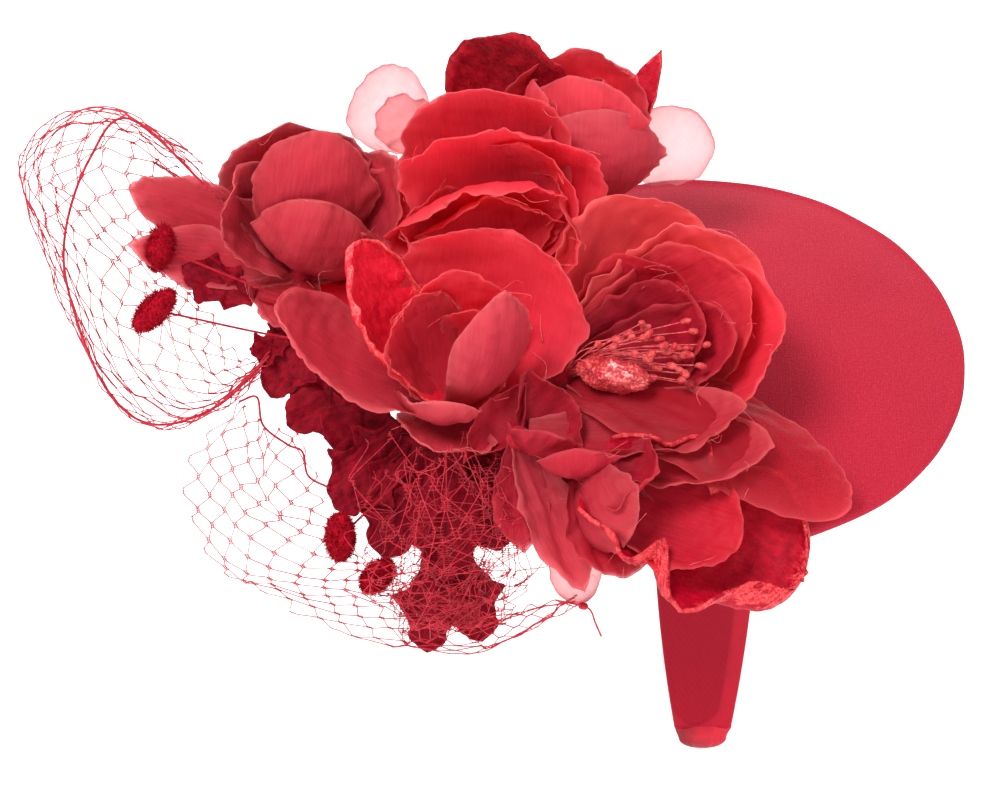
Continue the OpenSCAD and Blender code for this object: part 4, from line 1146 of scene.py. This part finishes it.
def make_headband():
    rng = np.random.default_rng(51)
    split = math.radians(62)
    crown = np.linspace(-split, split, 60)
    middles, outs = over_crown(crown)
    wide = np.full(len(crown), BAND_W + 0.0)
    verts, faces, flat = strap(middles, outs, wide - 0.3, BAND_T - 0.1, rng, 0.1)
    piece("crown_satin_sleeve", verts, faces, "satin", "satin", ("crown_satin",), uv=flat)
    verts, faces, flat = ribbon_strap(middles, outs, wide - RIBBON_LESS, rng)
    piece("crown_twill_ribbon", verts, faces, "twill", "twill_ribbon", ("crown_ribbon",), uv=flat,
          marks={"edge": np.zeros(len(verts))})
    for side, body in ((1, "near_leg"), (-1, "far_leg")):
        middles, outs, drops = band_line(split - 0.03, LEG_LEN, side, 16)
        verts, faces, flat = strap(middles, outs, leg_width(drops), BAND_T, rng, 0.16)
        sleeve = piece(f"{body}_satin_sleeve", verts, faces, "satin", "satin", (f"{body}_satin",),
                       body=None, uv=flat)
        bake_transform(sleeve)
        middles, outs, drops = band_line(split - 0.03, LEG_LEN - 1.5, side, 16)
        rounded = np.sqrt(np.clip((LEG_LEN - 1.3 - drops) / 5, 0.02, 1))
        wide = (leg_width(drops) - RIBBON_LESS) * np.minimum(rounded, 1)
        verts, faces, flat = ribbon_strap(middles, outs, wide, rng)
        turn = 2 * math.pi * np.arange(STRAP_SIDES) / STRAP_SIDES
        edge = np.abs(np.tile(np.cos(turn), len(middles))) > 0.95
        ribbon = piece(f"{body}_twill_ribbon", verts, faces, "twill", "twill_ribbon",
                       (f"{body}_ribbon",), body=None, uv=flat, marks={"edge": edge * 1.0})
        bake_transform(ribbon)
        make_tip(body, side, rng)


def make_tip(body, side, rng):
    """The gathered satin end of a leg."""
    drop = np.linspace(LEG_LEN - 1.0, LEG_LEN + TIP_LEN - 0.4, 16)
    middles, outs = (grid * [1, side, 1] for grid in down_leg(drop))
    along = (drop - drop[0]) / (drop[-1] - drop[0])
    close = np.sqrt(np.clip(1 - (np.clip(along - 0.55, 0, 1) / 0.46) ** 2, 0.02, 1))
    around = 64
    turn = 2 * math.pi * np.arange(around) / around
    gathers = 1 + 0.12 * np.sin(15 * turn)[None, :] * (0.1 + along[:, None])
    gathers = gathers + 0.04 * ripples([along[:, None] * 6, np.cos(turn) * 4, np.sin(turn) * 4], 3, rng)
    neck = np.clip(along / 0.6, 0, 1)
    wide = (LEG_END_W / 2 - 0.3 - 2.0 * neck * neck * (3 - 2 * neck)) * close
    thick = (BAND_T / 2 - 0.1 + np.sin(math.pi * along)) * close
    x = wide[:, None] * np.sign(np.cos(turn)) * np.abs(np.cos(turn)) ** 0.6 * gathers
    out = thick[:, None] * np.sign(np.sin(turn)) * np.abs(np.sin(turn)) ** 0.8 * gathers
    points = middles[:, None] + outs[:, None] * out[..., None] + np.array([1, 0, 0]) * x[..., None]
    flat = np.stack([x, drop[:, None] + 0 * x], -1).reshape(-1, 2)
    piece(f"{body}_gathered_tip", points.reshape(-1, 3), tube_faces(len(drop), around), "gathered", "satin",
          (f"{body[:-4]}_tip_wrap",), body=body, uv=flat)


# Carried-over parts --------------------------------------

CARRIED = {
    "base_shell": "buckram", "rim_wire": "steel", "band_patch": "pad", "spray_pad": "pad",
    "crown_spring": "steel", "near_leg_spring": "steel", "far_leg_spring": "steel",
    **{flower + "_calyx": "stem" for flower in FLOWER_AT},
}


def finish_carried():
    """Gives the CAD nodes that stay in view their finishes."""
    for node, look in CARRIED.items():
        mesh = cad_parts[node].data
        mesh.materials.clear()
        mesh.materials.append(MATERIAL[look])


# Studio, in metres ---------------------------------------

FLOOR_REACH = 6
FLOOR_GAP = 0.002


def area_light(name, place, size, power):
    """A square light aimed at the middle of the view."""
    light = bpy.data.lights.new(name, "AREA")
    light.size = size
    light.energy = power
    lamp = bpy.data.objects.new(name, light)
    lamp.location = place
    lamp.rotation_euler = (LOOK_AT - Vector(place)).to_track_quat("-Z", "Y").to_euler()
    bpy.context.scene.collection.objects.link(lamp)


def make_studio():
    world = bpy.data.worlds.new("studio")
    world.use_nodes = True
    sky = world.node_tree.nodes["Background"]
    sky.inputs["Color"].default_value = (1, 1, 1, 1)
    sky.inputs["Strength"].default_value = 0.64
    bpy.context.scene.world = world
    area_light("key", (-0.7, -1.1, 1.3), 0.7, 36)
    area_light("fill", (1.2, -1.0, 0.5), 1.2, 8)
    area_light("back", (0.2, 1.4, 1.1), 1.2, 20)
    t = Tree("studio_floor")
    shade = t.mix(t.noise(3, 3), (0.93, 0.93, 0.93, 1), (0.97, 0.97, 0.97, 1))
    floor_look = t.finish(t.principled({
        "Base Color": shade, "Roughness": 0.9,
        "Emission Color": (1, 1, 1, 1), "Emission Strength": 0.45}))
    low = cad_box[0][2] - FLOOR_GAP
    mesh = bpy.data.meshes.new("floor")
    corners = [(x * FLOOR_REACH, y * FLOOR_REACH, low) for x, y in ((-1, -1), (1, -1), (1, 1), (-1, 1))]
    mesh.from_pydata(corners, [], [(0, 1, 2, 3)])
    mesh.materials.append(floor_look)
    floor = bpy.data.objects.new("floor", mesh)
    bpy.context.scene.collection.objects.link(floor)
    bpy.context.scene.view_settings.view_transform = "Standard"


make_petals()
for k, (node, (flower, slot, _)) in enumerate(FLOWERS.items()):
    if slot == "organza":
        fray(node + "_frayed_threads", node, flower, 300 + k, 9)
make_netting()
make_stems()
make_heart()
make_pompons()
make_base()
make_headband()
finish_carried()
make_studio()
